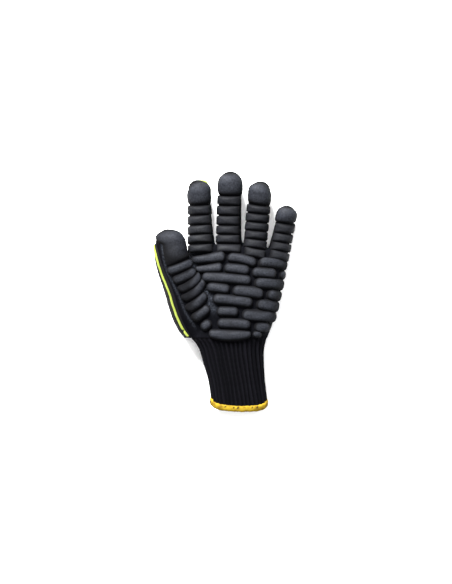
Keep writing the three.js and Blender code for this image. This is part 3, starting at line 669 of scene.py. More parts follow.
def cuff_rings(depth_share, offset, along):
    """Ring points: the body's skin, moved in and out by a cosine of the rib number. The ribs fade out at
    the wrist, and past it the cuff is tucked under the palm's knit."""
    columns = RIB_COUNT * RIB_SAMPLES
    rings = []
    for y in along:
        fade = np.clip((WRIST_Y - y) / RIB_FADE, 0, 1)
        wave = np.cos(rib_number(np.arange(columns), y) * 2 * np.pi)
        depth = RIB_DEPTH * depth_share * fade * (0.5 * wave - 0.5)
        tucked = -CUFF_TUCK_DEPTH * np.clip((y - WRIST_Y) / CUFF_TUCK, 0, 1)
        rings.append(body_point(np.full(columns, y), even_angles(y, columns), offset + depth + tucked))
    return np.array(rings)


def make_cuff():
    """Rings down the outside and back up the inside, closed into one ribbed wall."""
    along = np.linspace(WRIST_Y + CUFF_TUCK, CUFF_END_Y - CUFF_REACH, CUFF_ROWS)
    outer = cuff_rings(1.0, 0.0, along)
    inner = cuff_rings(INNER_RIB_SHARE, -CUFF_WALL, along[::-1])
    rings = np.concatenate([outer, inner, outer[:1]])
    faces, corner_rows, corner_columns = grid_faces(len(rings), outer.shape[1], wrap=True)
    v = np.concatenate([along, along[::-1], along[:1]])[corner_rows]
    u = rib_number(corner_columns, v) * RIB_PITCH
    points = rings[:-1].reshape(-1, 3)
    faces = faces % len(points)
    return make_object("rib_cuff", points, faces.tolist(), np.stack([u, v], -1))


cuff = close_and_turn_out(make_cuff())
print("cuff:", len(cuff.data.polygons), "faces")

# %% [markdown]
# ## The bound hem
# The end of the cuff is overlocked with golden yarn: a flat roll wrapped by many slanting threads. The
# roll is an oval carried round the end of the cuff, and each thread is a small ripple in its surface.
# Threads made one by one would be truer, but at this size nobody could tell them apart.

# %% Hem surface
HEM_HEIGHT = 6.2
HEM_THICKNESS = 3.6
HEM_WRAPS = 118
HEM_RIPPLE = 0.42
HEM_SLANT = 1.2
HEM_ROUNDNESS = 2.8
HEM_COLUMNS = 20
ROWS_A_WRAP = 8
HEM_LAP = 1.6
LAP_ANGLE = 168
LAP_SPREAD = 0.16


def make_hem():
    """Oval rings round the end of the cuff, rippled by a cosine of the wrap number, which slants
    across the band. Where its two ends lap, at the thumb's side, the band is fuller by a bell curve."""
    columns = HEM_COLUMNS
    rows = HEM_WRAPS * ROWS_A_WRAP
    angle = even_angles(CUFF_END_Y, rows)[:, None]
    turn = np.linspace(0, 2 * np.pi, columns, endpoint=False)[None]
    out, up = section_point(turn, HEM_ROUNDNESS)
    wrap_number = np.arange(rows)[:, None] / rows * HEM_WRAPS
    slanted = wrap_number + HEM_SLANT * up + 0.2 * np.sin(wrap_number * 0.9)
    ripple = HEM_RIPPLE * (np.abs(np.cos(np.pi * slanted)) - 0.6)
    wobble = 0.14 * np.sin(wrap_number * 0.37) + 0.08 * np.sin(wrap_number * 1.1)
    lap = HEM_LAP * np.exp(-(((angle - np.radians(LAP_ANGLE)) / LAP_SPREAD) ** 2))
    offset = (HEM_THICKNESS / 2 + ripple + 0.3 * lap) * out - CUFF_WALL / 2
    p = body_point(np.full_like(offset, CUFF_END_Y), np.broadcast_to(angle, offset.shape), offset)
    p[..., 1] += (HEM_HEIGHT / 2 + ripple + lap / 2) * (up - 1) + lap + wobble
    p[..., 2] = np.maximum(p[..., 2], 0)
    closed = np.concatenate([p, p[:1]])
    faces, corner_rows, corner_columns = grid_faces(len(closed), columns, wrap=True)
    thread = np.concatenate([slanted, slanted[:1] + HEM_WRAPS])
    thread = np.concatenate([thread, thread[:, :1]], axis=1)
    uv = np.stack([thread[corner_rows, corner_columns], corner_columns / columns], -1)
    return make_object("hem_binding", p, (faces % (rows * columns)).tolist(), uv)


hem = close_and_turn_out(make_hem())
print("hem:", len(hem.data.polygons), "faces")

# %% [markdown]
# ## Foam-rubber pads
# The pads are moulded in foam rubber: bars across every finger, domes on the tips and a brick pattern
# on the palm. Each is a pillow whose height is the product of a round back along and across it. Pads on
# a digit follow its skin by station and angle; pads on the palm and thumb bars are laid out in plan and
# stand on whatever is highest there.

# %% Pillows on a surface
PAD_SINK = 0.3
PAD_UNDERSIDE = 0.5
UNEVEN = 0.03


def surface_normals(points):
    """Unit normals of a grid: the cross product of its two directions of travel."""
    along = np.gradient(points, axis=0)
    across = np.gradient(points, axis=1)
    normal = np.cross(along, across)
    return normal / np.maximum(np.linalg.norm(normal, axis=-1, keepdims=True), 1e-9)


def pillow(name, skin, height, outward, pale=1.0):
    """A closed pad: the skin grid raised by its height along the skin's normals, and the same grid
    pushed a little inward as its underside. Two sine waves make its height a little uneven. Each vertex
    keeps its share of the height as "crown", by which the foam paints shade into the grooves, and "pale",
    a painted light factor that makes the pad lighter or darker."""
    outward = outward / np.linalg.norm(outward, axis=-1, keepdims=True)
    normal = surface_normals(skin)
    normal = normal * np.sign((normal * outward).sum(-1, keepdims=True)) + outward
    normal /= np.linalg.norm(normal, axis=-1, keepdims=True)
    height = height * (1 + UNEVEN * np.sin(skin[..., 0] * 0.29 + 1.7 * np.sin(skin[..., 1] * 0.37)))
    top = skin + normal * (height - PAD_SINK)[..., None]
    under = skin - normal * (PAD_SINK + PAD_UNDERSIDE)
    rows, columns = height.shape
    faces, _, _ = grid_faces(rows, columns, wrap=False)
    count = rows * columns
    rim = np.concatenate(
        [
            np.arange(columns),
            np.arange(1, rows) * columns + columns - 1,
            (rows - 1) * columns + np.arange(columns - 2, -1, -1),
            np.arange(rows - 2, 0, -1) * columns,
        ]
    )
    nxt = np.roll(rim, -1)
    sides = np.stack([rim, nxt, nxt + count, rim + count], -1)
    all_faces = np.concatenate([faces, faces[:, ::-1] + count, sides])
    u, v = np.meshgrid(np.linspace(-1, 1, columns), np.linspace(-1, 1, rows))
    place = np.stack([u, v], -1).reshape(-1, 2)
    piece = make_object(name, np.concatenate([top.reshape(-1, 3), under.reshape(-1, 3)]), all_faces.tolist())
    write_vertex_uv(piece, np.tile(place, (2, 1)))
    write_value(piece, "crown", np.concatenate([height.ravel() / height.max(), np.zeros(count)]))
    write_value(piece, "pale", np.tile(np.broadcast_to(pale, height.shape).ravel(), 2))
    return close_and_turn_out(piece)


def ends_fine(count):
    """Shares from -1 to 1, closer together towards both ends."""
    return np.sin(np.linspace(-np.pi / 2, np.pi / 2, count))


# %% [markdown]
# ## Pads along the fingers
# Each finger has a long dome of foam over its tip and a ladder of bars below it, with narrow grooves
# between them. The grooves follow the finger, so a bar is a pillow on a patch of the finger's own skin,
# between two stations and two angles. Near the root the patch is lifted on to the palm where that is higher.

# %% Pads along the fingers
# to: where the tip's pad and then each bar ends, as shares of the finger's length; left, right: the
# angles in degrees at which each bar ends on its sides; slant: how far its right end lies below its
# middle. tip_left, tip_right: the angles of the tip's pad, on the straight part and on the dome;
# tip_slant: the slant of its lower edge.
FINGER_PADS = {
    "index": dict(
        to=[0.627, 0.466, 0.304, 0.146, 0.0, -0.133],
        tip_left=(190, 152),
        tip_right=(2, -7),
        tip_slant=0,
        left=[186, 186, 185, 182, 176],
        right=[10, 20, 30, 37, 38],
        slant=[0, 0, 0, 0, 0],
    ),
    "middle": dict(
        to=[0.683, 0.547, 0.404, 0.265, 0.132, 0.004, -0.121],
        tip_left=(184, 180),
        tip_right=(4, 8),
        tip_slant=0,
        left=[184, 184, 184, 182, 178, 170],
        right=[24, 31, 35, 36, 34, 26],
        slant=[0, 0, 0, 0, 0, 0],
    ),
    "ring": dict(
        to=[0.646, 0.51, 0.367, 0.226, 0.084, -0.06, -0.2],
        tip_left=(182, 188),
        tip_right=(-8, 22),
        tip_slant=1.2,
        left=[178, 176, 170, 162, 152, 146],
        right=[-6, -4, 2, 8, 14, 20],
        slant=[0.3, 0, 0, 0, 0.5, 1.5],
    ),
    "little": dict(
        to=[0.633, 0.388, 0.163, -0.043, -0.25],
        tip_left=(182, 182),
        tip_right=(-14, -10),
        tip_slant=-1.6,
        left=[154, 147, 142, 140],
        right=[-10, -10, -10, -8],
        slant=[-1.4, -1, -0.8, -0.4],
    ),
}
FINGER_PAD_HEIGHT = 4.2
PAD_GAP = 0.4
PAD_COLUMNS = 41
BAR_ROWS = 17
TIP_ROWS = 17
# How square a pad's back is across the finger and along it, and how round a tip pad's far end is
ACROSS_POWER = 2.4
BAR_ALONG_POWER = 2.5
TIP_ALONG_POWER = 2.8
TIP_END_POWER = 2.3
# How far the tip's pad goes round the dome, in degrees, and how far from its middle to its far end it
# keeps its full width, as a share
TIP_REACH = 62
TIP_SQUARE = 0.45
TIP_LEAST_WIDTH = 0.04
# Lengths in millimetres over which its angles change to the dome's, and over which its slant sets in
TIP_BLEND = 8
SLANT_BLEND = 4
# How far back along the axis the outward directions start, and how softly the skin goes over to the palm's
OUTWARD_FROM = 4
PALM_BLEND = 2.0
# Painted light factor of the foam on the bars, and on the tips at their near and at their far end: the bars
# are painted darker and the tips lighter, most at their far end, where the light falls
BAR_PAINTED_LIGHT = 0.4
TIP_PAINTED_LIGHT = (1.05, 1.3)


def digit_skin(digit, station, angle):
    """The digit's skin, lifted to the palm's where the palm stands higher."""
    p = digit.point(station, angle)
    if digit is not thumb:
        p[..., 2] = soft_max(p[..., 2], palm_height(p[..., 0], p[..., 1]), PALM_BLEND)
    return p


def digit_bar(digit, k, start, end, left, right, slant):
    """One bar: even round its back across the digit, full along it, steep at the edges. It is squarer
    towards its ends, where the grooves are narrow."""
    v = ends_fine(BAR_ROWS)[:, None]
    u = ends_fine(PAD_COLUMNS)[None]
    angle = np.radians((left + right) / 2 + (right - left) / 2 * u)
    station = (start + end) / 2 + (start - end) / 2 * v - slant * np.cos(angle)
    station, angle = np.broadcast_arrays(station, angle)
    skin = digit_skin(digit, station, angle)
    centre = digit.axis(np.minimum(station, digit.dome_start))[0]
    rise = FINGER_PAD_HEIGHT * round_back(u, ACROSS_POWER) * round_back(v, BAR_ALONG_POWER * (1 + 2 * u**2))
    # The bar's foam is painted darker by the bars' painted light factor.
    return pillow(f"{digit.name}_pad_{k}", skin, rise, skin - centre, BAR_PAINTED_LIGHT)


def tip_pad(digit, end, left, right, height, reach=TIP_REACH, slant=0.0, turn_at=-3, pale=TIP_PAINTED_LIGHT):
    """The dome over a fingertip: like a bar, but it runs round the rounded end as far as its reach, and
    narrows there like a pillow's back. Left and right each give two angles, one for the straight part and
    one for the dome."""
    u = ends_fine(PAD_COLUMNS)[None]
    far = digit.dome_start + digit.dome_length * np.sin(np.radians(reach))
    turn = np.linspace(np.radians(reach), 0, TIP_ROWS)
    bend = digit.dome_start + digit.dome_length * np.sin(turn)
    straight = np.linspace(digit.dome_start, end, TIP_ROWS)[1:]
    station = np.concatenate([bend, straight])[:, None]
    along = (far - station) / (far - end) * 2 - 1
    into_end = np.minimum(along + TIP_SQUARE, 0) / (1 - TIP_SQUARE)
    narrowing = np.maximum(round_back(into_end, TIP_END_POWER), TIP_LEAST_WIDTH)
    on_dome = np.clip((station - digit.dome_start - turn_at) / TIP_BLEND, 0, 1)
    left = left[0] + (left[1] - left[0]) * on_dome
    right = right[0] + (right[1] - right[0]) * on_dome
    angle = np.radians((left + right) / 2 + (right - left) / 2 * u * narrowing)
    station = station - slant * np.cos(angle) * np.clip((digit.dome_start - station) / SLANT_BLEND, 0, 1)
    skin = digit_skin(digit, station, angle)
    centre = digit.axis(np.minimum(station, digit.dome_start))[0]
    centre = centre - digit.axis(digit.dome_start)[1] * OUTWARD_FROM
    rise = height * round_back(u, ACROSS_POWER) * round_back(along, TIP_ALONG_POWER)
    # Painted light: the tip's foam is painted lighter towards its far end, where the light falls on the dome.
    painted_tip_light = pale[1] + (pale[0] - pale[1]) * (along + 1) / 2
    return pillow(f"{digit.name}_tip_pad", skin, rise, skin - centre, painted_tip_light)


def finger_pads(finger):
    """The pad of the tip and the bars below it, joined. Each bar starts where the one before it ends."""
    rows = FINGER_PADS[finger.name]
    ends = np.array(rows["to"]) * finger.length
    tip = rows["tip_left"], rows["tip_right"], FINGER_PAD_HEIGHT, TIP_REACH, rows["tip_slant"]
    made = [tip_pad(finger, ends[0] + PAD_GAP, *tip)]
    bars = zip(ends, ends[1:], rows["left"], rows["right"], rows["slant"])
    for k, (start, end, left, right, slant) in enumerate(bars, 1):
        made.append(digit_bar(finger, k, start - PAD_GAP, end + PAD_GAP, left, right, slant))
    return join(f"{finger.name}_pads", made)


finger_pad_sets = {finger.name: finger_pads(finger) for finger in fingers}
print("pads on fingers:", {name: len(rows["to"]) for name, rows in FINGER_PADS.items()})

# %% [markdown]
# ## Pads on the palm
# The palm's pads are a loose brick pattern of bars that tilt across the hand, and each is a stadium in
# plan. They are laid out in plan by their two ends, since that is how a photograph from above shows
# them. A pad stands on whatever is highest under it, or, at the little finger's edge, wraps down the side.

# %% Pads laid out in plan
# The edge: the share of the half width from which a pad goes down the side, and the bend's radius
EDGE_FROM = 0.93
EDGE_RADIUS = 16
# Pads grow lower from this share of the half width on, over this share of it, by this much
EDGE_LOWERS_FROM = 0.8
EDGE_LOWERS_OVER = 0.2
EDGE_LOWERING = 0.3
PAD_HEIGHT = 5.0
# How much wider a pad's foot is than the part of it that shows, and how square its back and ends are
FULLNESS = 1.17
PLAN_ACROSS_POWER = 2.35
PLAN_ALONG_POWER = 2.6
STADIUM_POWER = 2.1
PLAN_LEAST_WIDTH = 0.03
BODY_AXIS_HEIGHT = 8
PLAN_ROWS = 49
PLAN_COLUMNS = 17


def ground(x, y):
    """Height of the liner under a plan place: the highest of the palm and the digits, with the folds
    between them rounded over."""
    top = palm_height(x, y)
    for digit in digits:
        top = soft_max(top, digit.height(x, y))
    return top


def palm_angle(x, y):
    """The angle round the palm of a place given by how far across it lies: exact on top, and past the
    edge it goes on down the side at a steady rate."""
    half = smooth_at(BODY, "half", y)
    out = x - smooth_at(BODY, "middle", y)
    flat = EDGE_FROM * half
    on_top = np.clip(out, -flat, flat) / half
    angle = np.arccos(np.sign(on_top) * np.abs(on_top) ** (PALM_ROUNDNESS / 2))
    past = np.maximum(0, np.abs(out) - flat) / EDGE_RADIUS
    return angle - np.sign(out) * past


def plan_pad(name, x1, y1, x2, y2, wide, bow=0.0, swell=0.0, taper=0.0, height=PAD_HEIGHT, wraps=False):
    """A bar between two plan points in millimetres. Its half width is a stadium's, and its centreline
    bows towards the fingers as a parabola. Swell widens its middle, and taper widens its right end."""
    start, end = np.array([x1, y1]), np.array([x2, y2])
    length = np.linalg.norm(end - start)
    along = (end - start) / length
    half = wide / 2 * FULLNESS
    cap = min(0.95, half / (length / 2))
    share = ends_fine(PLAN_ROWS)[:, None]
    across = ends_fine(PLAN_COLUMNS)[None]
    in_cap = np.clip((np.abs(share) - (1 - cap)) / cap, 0, 1)
    width = half * np.maximum(round_back(in_cap, STADIUM_POWER), PLAN_LEAST_WIDTH)
    width = width * (1 + swell * (1 - share**2) + taper * share)
    centre = start + (end - start) * (share[..., None] + 1) / 2
    shift = width * across + bow * (1 - share**2)
    x = centre[..., 0] - along[1] * shift
    y = centre[..., 1] + along[0] * shift
    if wraps:
        station = y + lean(y) * x
        skin = body_point(station, palm_angle(x, station))
        outward = skin - [0, 0, BODY_AXIS_HEIGHT]
    else:
        skin = np.stack([x, y, ground(x, y)], -1)
        outward = np.array([0, 0, 1.0])
    edge = np.abs(x - smooth_at(BODY, "middle", y)) / smooth_at(BODY, "half", y)
    lower = 1 - EDGE_LOWERING * np.clip((edge - EDGE_LOWERS_FROM) / EDGE_LOWERS_OVER, 0, 1)
    rise = height * lower * round_back(across, PLAN_ACROSS_POWER) * round_back(in_cap, PLAN_ALONG_POWER)
    return pillow(name, skin, rise, outward)


# Plan places of the palm pads in millimetres from the frame's origin, row by row from the finger roots.
PALM_PADS = [
    dict(x1=-47.1, y1=31.4, x2=-11.2, y2=36, wide=8.8, bow=-0.6, taper=0.28),
    dict(x1=-9.2, y1=34.2, x2=21.6, y2=27.6, wide=9.2, bow=1.8),
    dict(x1=22.9, y1=28.2, x2=57.3, y2=24.4, wide=9.4, bow=1.2, wraps=True),
    dict(x1=-43.5, y1=21.4, x2=-14.2, y2=24.1, wide=7.9, bow=-0.3, taper=0.25),
    dict(x1=-12.7, y1=23.3, x2=14.5, y2=20, wide=9.3, bow=0.6),
    dict(x1=16.5, y1=18.5, x2=42.5, y2=16.7, wide=9.6, bow=0.5),
    dict(x1=45, y1=15.5, x2=55.3, y2=14.9, wide=8.4, wraps=True),
    dict(x1=-35.7, y1=13.7, x2=16.2, y2=9.5, wide=9.6, bow=0.8),
    dict(x1=18.4, y1=7.3, x2=54.8, y2=4.2, wide=9.9, bow=0.5, wraps=True),
    dict(x1=-30.8, y1=3.1, x2=-6.2, y2=0.5, wide=9.3, bow=0.3),
    dict(x1=-3.8, y1=-0.6, x2=29, y2=-4.8, wide=9.6, bow=1.0, swell=0.14),
    dict(x1=31.2, y1=-4.4, x2=51.8, y2=-7.4, wide=9.5, bow=0.3, wraps=True),
    dict(x1=-24.4, y1=-8.9, x2=17.7, y2=-13.7, wide=9.9, bow=0.5),
    dict(x1=20.7, y1=-14.1, x2=49.4, y2=-18.6, wide=9.9, bow=0.3, wraps=True),
    dict(x1=-20.3, y1=-22.4, x2=2.8, y2=-23, wide=9.1, bow=0.2),
    dict(x1=6, y1=-25, x2=45, y2=-28.7, wide=10.3, bow=0.5, wraps=True),
    dict(x1=-19.6, y1=-34.7, x2=15.5, y2=-36.6, wide=9.8, bow=0.5),
    dict(x1=18.7, y1=-38, x2=35, y2=-38.4, wide=9.2, bow=0.2, wraps=True),
    dict(x1=-28.5, y1=-45.2, x2=16, y2=-46.2, wide=6.6, bow=-1.8, swell=0.6, taper=-0.12),
    dict(x1=17.2, y1=-46.4, x2=26.8, y2=-46.4, wide=6.2, height=4),
]
palm_pads = [plan_pad(f"palm_pad_{k + 1:02d}", **row) for k, row in enumerate(PALM_PADS)]
print("palm pads:", len(palm_pads))

# %% [markdown]
# ## Pads on the thumb
# Seven bars climb the ball of the thumb, and a long pad covers its tip. The bars cross from the thumb on
# to the palm, so they are laid out in plan like the palm's. The tip's pad follows the thumb like a finger's.

# %% Pads on the thumb
THUMB_BARS = [
    dict(x1=-71.8, y1=19.1, x2=-46, y2=29.2, wide=8.1, bow=-0.8),
    dict(x1=-66, y1=9.5, x2=-42.8, y2=20.2, wide=8.5, bow=-1.2),
    dict(x1=-60.4, y1=0, x2=-37.8, y2=17, wide=8.3, bow=-3.2),
    dict(x1=-56.6, y1=-9.7, x2=-33.2, y2=10.6, wide=8.5, bow=-3.4),
    dict(x1=-52.4, y1=-20.8, x2=-31, y2=-3.6, wide=9.3, bow=-1.8),
    dict(x1=-46, y1=-30.8, x2=-27.8, y2=-17.6, wide=9.2, bow=-0.6),
    dict(x1=-36.4, y1=-40.6, x2=-26.2, y2=-33, wide=9.4),
]
# The thumb tip's pale pair paints it dark at its near end and light at its far end, where the light falls on
# the dome.
THUMB_TIP = dict(left=(116, 182), right=(-26, -26), height=4.2, reach=70, turn_at=0, pale=(0.3, 1.3))
THUMB_TIP_END = 0.687
thumb_bars = [plan_pad(f"thumb_bar_{k}", **row) for k, row in enumerate(THUMB_BARS)]
thumb_tip = tip_pad(thumb, THUMB_TIP_END * THUMB_LENGTH, **THUMB_TIP)
thumb_pads = join("thumb_pads", [thumb_tip, *thumb_bars])
print("thumb bars:", len(THUMB_BARS))

# %% [markdown]
# ## Guards on the back
# A moulded rubber guard covers the outer side of the thumb, with a lime ridge along it. The end of
# another shows past the forefinger's tip. Both are bands between two angles of the digit, with a flat
# top and rounded edges, where a pad would have a round back.

# %% Moulded strips
# at: shares of the thumb's length; edge, stripe: the angles in degrees of the guard's upper edge and
# of the middle of the stripe
THUMB_GUARD = {
    "at": [0.05, 0.15, 0.24, 0.34, 0.44, 0.54, 0.63, 0.71, 0.79, 0.865],
    "edge": [132, 129, 127, 126.5, 127, 128.5, 131, 133, 139, 152],
    "stripe": [140, 136.5, 136, 137, 138, 140, 142, 143, 148, 163],
}
GUARD_LOW_EDGE = 205
GUARD_THICKNESS = 2.8
STRIPE_HEIGHT = 1.4
STRIPE_SPAN = 4.7
STRIPE_OVERLAP = 0.8
CUT_WIDTH = 0.006
STRIP_ROWS = 141
STRIP_COLUMNS = 15
INDEX_GUARD_FROM = 0.7
INDEX_GUARD_TO = 0.975
INDEX_GUARD_LOW_EDGE = 250
INDEX_GUARD_EDGE = 310
INDEX_GUARD_TURN = 33


def strip(name, digit, first, last, left_at, right_at, low, high, edge_power, end_power, cut_at=None):
    """A band along a digit between two angles, from a first to a last share of its length: flat on top
    with rounded edges, closed underneath. A cut across it dips as a bell curve."""
    v = np.linspace(0, 1, STRIP_ROWS)[:, None]
    u = ends_fine(STRIP_COLUMNS)[None]
    at = first + (last - first) * v
    left, right = left_at(at), right_at(at)
    angle = np.radians((left + right) / 2 + (right - left) / 2 * u)
    station = at * digit.length + 0 * angle
    skin = digit.point(station, angle)
    centre = digit.axis(np.minimum(station, digit.dome_start))[0]
    rise = low + (high - low) * round_back(u, edge_power) * round_back(2 * v - 1, end_power) + PAD_SINK
    if cut_at:
        rise = rise - (high - low) * np.exp(-(((at - cut_at) / CUT_WIDTH) ** 2))
    return pillow(name, skin, rise, skin - centre)


def stripe_edge(side):
    """The angle of one edge of the stripe against the share of the thumb's length."""
    return lambda at: smooth_at(THUMB_GUARD, "stripe", at) + side * STRIPE_SPAN / 2


def index_guard_edge(at):
    """The upper edge of the forefinger's guard turns evenly round the finger towards the tip."""
    share = (at - INDEX_GUARD_FROM) / (INDEX_GUARD_TO - INDEX_GUARD_FROM)
    return INDEX_GUARD_EDGE + INDEX_GUARD_TURN * share


thumb_guard = strip(
    "thumb_guard", thumb, first=0.095, last=0.88,
    left_at=lambda at: GUARD_LOW_EDGE + 0 * at,
    right_at=lambda at: smooth_at(THUMB_GUARD, "edge", at),
    low=0.0, high=GUARD_THICKNESS, edge_power=3.5, end_power=5,
)
thumb_stripe = strip(
    "thumb_stripe", thumb, first=0.1, last=0.87,
    left_at=stripe_edge(1),
    right_at=stripe_edge(-1),
    low=GUARD_THICKNESS - STRIPE_OVERLAP, high=GUARD_THICKNESS + STRIPE_HEIGHT,
    edge_power=2.5, end_power=8, cut_at=0.145,
)
index_guard = strip(
    "index_guard", fingers[0], first=INDEX_GUARD_FROM, last=INDEX_GUARD_TO,
    left_at=index_guard_edge,
    right_at=lambda at: INDEX_GUARD_LOW_EDGE + 0 * at,
    low=0.0, high=GUARD_THICKNESS + 0.9, edge_power=4, end_power=5,
)
print("guards:", thumb_guard.name, thumb_stripe.name, index_guard.name)


# %% [markdown]
# ## Materials
# Four finishes: black knit, golden yarn, foam rubber and moulded rubber. Effects that more than one of
# them uses are node groups: the stitches of a knit, and the grain and cloudiness that rubber and cloth
# share. Image textures would tie the look to one UV layout, but noise and waves fit any size.

# %% Node helpers
def new_group(name, inputs, outputs):
    """An empty node group with named sockets."""
    group = bpy.data.node_groups.new(name, "ShaderNodeTree")
    for label, kind, value in inputs:
        socket = group.interface.new_socket(label, in_out="INPUT", socket_type=f"NodeSocket{kind}")
        if value is not None:
            socket.default_value = value
    for label, kind in outputs:
        group.interface.new_socket(label, in_out="OUTPUT", socket_type=f"NodeSocket{kind}")
    return group, group.nodes.new("NodeGroupInput"), group.nodes.new("NodeGroupOutput")


def node(tree, kind, links=(), **settings):
    """A shader node with its settings, and its inputs filled by sockets or plain values."""
    made = tree.nodes.new(f"ShaderNode{kind}")
    for key, value in settings.items():
        setattr(made, key, value)
    for key, value in dict(links).items():
        if isinstance(value, bpy.types.NodeSocket):
            tree.links.new(value, made.inputs[key])
        else:
            made.inputs[key].default_value = value
    return made


def math(tree, operation, first, second=0.0, third=0.0):
    """A Math node's output."""
    return node(tree, "Math", {0: first, 1: second, 2: third}, operation=operation).outputs[0]


# %% Node groups: knit stitches, and the grain of rubber
def knit_group():
    """Rows of V-shaped stitches from a place in millimetres. Each leg of a V is a round ridge: a sine
    across the half wale, times a sine along the course, which climbs away from the middle of the wale.
    The shade is painted shade between the loops: the height brought into the range from 0.45 to 1."""
    group, given, result = new_group(
        "knit_stitches",
        [("Place", "Vector", None), ("Wale", "Float", 1.6), ("Course", "Float", 1.2)],
        [("Height", "Float"), ("Shade", "Float")],
    )
    parts = node(group, "SeparateXYZ", {0: given.outputs["Place"]})
    wale = math(group, "DIVIDE", parts.outputs[0], given.outputs["Wale"])
    course = math(group, "DIVIDE", parts.outputs[1], given.outputs["Course"])
    across = math(group, "ABSOLUTE", math(group, "SUBTRACT", math(group, "FRACT", wale), 0.5))
    climbed = math(group, "MULTIPLY_ADD", across, 1.6, course)
    leg = math(group, "ABSOLUTE", math(group, "SINE", math(group, "MULTIPLY", wale, 2 * np.pi)))
    row = math(group, "ABSOLUTE", math(group, "SINE", math(group, "MULTIPLY", climbed, np.pi)))
    height = math(group, "MULTIPLY", math(group, "POWER", leg, 0.6), math(group, "POWER", row, 0.7))
    group.links.new(height, result.inputs["Height"])
    group.links.new(math(group, "MULTIPLY_ADD", height, 0.55, 0.45), result.inputs["Shade"])
    return group


def grain_group():
    """A fine grain and a broad cloudy change of tone, both from noise on a place in metres."""
    group, given, result = new_group(
        "rubber_grain",
        [("Place", "Vector", None), ("Grain Scale", "Float", 1500.0), ("Cloud Scale", "Float", 40.0)],
        [("Grain", "Float"), ("Cloud", "Float")],
    )
    place = given.outputs["Place"]
    fine = node(group, "TexNoise", {"Vector": place, "Scale": given.outputs["Grain Scale"], "Detail": 3.0})
    broad = node(group, "TexNoise", {"Vector": place, "Scale": given.outputs["Cloud Scale"], "Detail": 4.0})
    group.links.new(fine.outputs[0], result.inputs["Grain"])
    group.links.new(broad.outputs[0], result.inputs["Cloud"])
    return group


knit_stitches = knit_group()
rubber_grain = grain_group()
print("node groups:", knit_stitches.name, rubber_grain.name)


# %% Helpers that the materials share
def new_material(name):
    """A material with an empty Principled shader, and its tree."""
    material = bpy.data.materials.new(name)
    material.use_nodes = True
    tree = material.node_tree
    return material, tree, tree.nodes["Principled BSDF"]


def placed(tree, group, **values):
    """A node group put into a tree, its inputs filled by name; gives its outputs."""
    made = tree.nodes.new("ShaderNodeGroup")
    made.node_tree = group
    for key, value in values.items():
        label = key.replace("_", " ")
        if isinstance(value, bpy.types.NodeSocket):
            tree.links.new(value, made.inputs[label])
        else:
            made.inputs[label].default_value = value
    return made.outputs


def mixed(tree, factor, below, above, **settings):
    """A colour between two, by a factor. Each is a plain colour or another node's output."""
    below, above = (c if isinstance(c, bpy.types.NodeSocket) else (*c, 1) for c in (below, above))
    return node(tree, "Mix", {0: factor, 6: below, 7: above}, data_type="RGBA", **settings).outputs[2]


def ranged(tree, value, low, high, top=1.0, **settings):
    """A value stretched so that low becomes zero and high becomes the top, and held between them."""
    return node(tree, "MapRange", {0: value, 1: low, 2: high, 3: 0.0, 4: top}, **settings).outputs[0]


def vertex_value(tree, name):
    """A value that the mesh keeps for each vertex."""
    return node(tree, "Attribute", attribute_name=name).outputs["Fac"]


def grain_here(tree, grain_scale, cloud_scale):
    """The place on the glove in metres, and the grain and cloudiness there."""
    here = node(tree, "TexCoord").outputs["Object"]
    return here, placed(tree, rubber_grain, Place=here, Grain_Scale=grain_scale, Cloud_Scale=cloud_scale)


def bumped(tree, shader, height, distance):
    """Lets a height in the tree bend the shader's normal; the distance is in millimetres."""
    bump = node(tree, "Bump", {"Height": height, "Distance": distance * MM, "Strength": 1.0})
    tree.links.new(bump.outputs[0], shader.inputs["Normal"])


def finished(tree, shader, colour, roughness, specular):
    """Links the colour, and sets how rough and how shiny the shader is."""
    tree.links.new(colour, shader.inputs["Base Color"])
    if isinstance(roughness, bpy.types.NodeSocket):
        tree.links.new(roughness, shader.inputs["Roughness"])
    else:
        shader.inputs["Roughness"].default_value = roughness
    shader.inputs["Specular IOR Level"].default_value = specular


# %% [markdown]
# ## Black knit
# The liner is a fine black knit, matte and nearly without sheen. Its stitches are bump and painted shade
# between the loops along the UV map; real loops would take millions of faces. On the palm the knit has
# soaked up some foam rubber, which turns it slate grey, with paler flecks where it is rubbed.

# %% Black knit, for the hand and the cuff
KNIT_ROUGHNESS = 0.92
KNIT_SHINE = 0.02
# The dark of each pair is painted shade between the loops of the stitches.
HAND_KNIT_TONES = (0.0003, 0.0003, 0.0005), (0.0026, 0.0026, 0.0038)
CUFF_KNIT_TONES = (0.0005, 0.0005, 0.0008), (0.0045, 0.0043, 0.006)
SOAKED_TONE = (0.0011, 0.0012, 0.0019)
BARE_TONE = (0.024, 0.027, 0.034)
# Painted shade in the recesses between the cuff's ribs.
PAINTED_RIB_SHADE = (0.0011, 0.0011, 0.0016)


def knit_material(name, wale, course, dark, light, depth):
    """A matte knit whose stitches follow the UV map. The caller gets its tree, its colour, its place in
    metres and its grain, to add to them."""
    material, tree, shader = new_material(name)
    place = node(tree, "UVMap", uv_map="surface").outputs[0]
    stitches = placed(tree, knit_stitches, Place=place, Wale=wale, Course=course)
    here, grain = grain_here(tree, 900.0, 55.0)
    # Painted shade between the loops of the stitches, with a random cloudy tone.
    tone = math(tree, "MULTIPLY_ADD", grain["Cloud"], 0.35, math(tree, "MULTIPLY", stitches["Shade"], 0.7))
    colour = mixed(tree, tone, dark, light)
    bumped(tree, shader, stitches["Height"], depth)
    return material, tree, shader, colour, here, grain


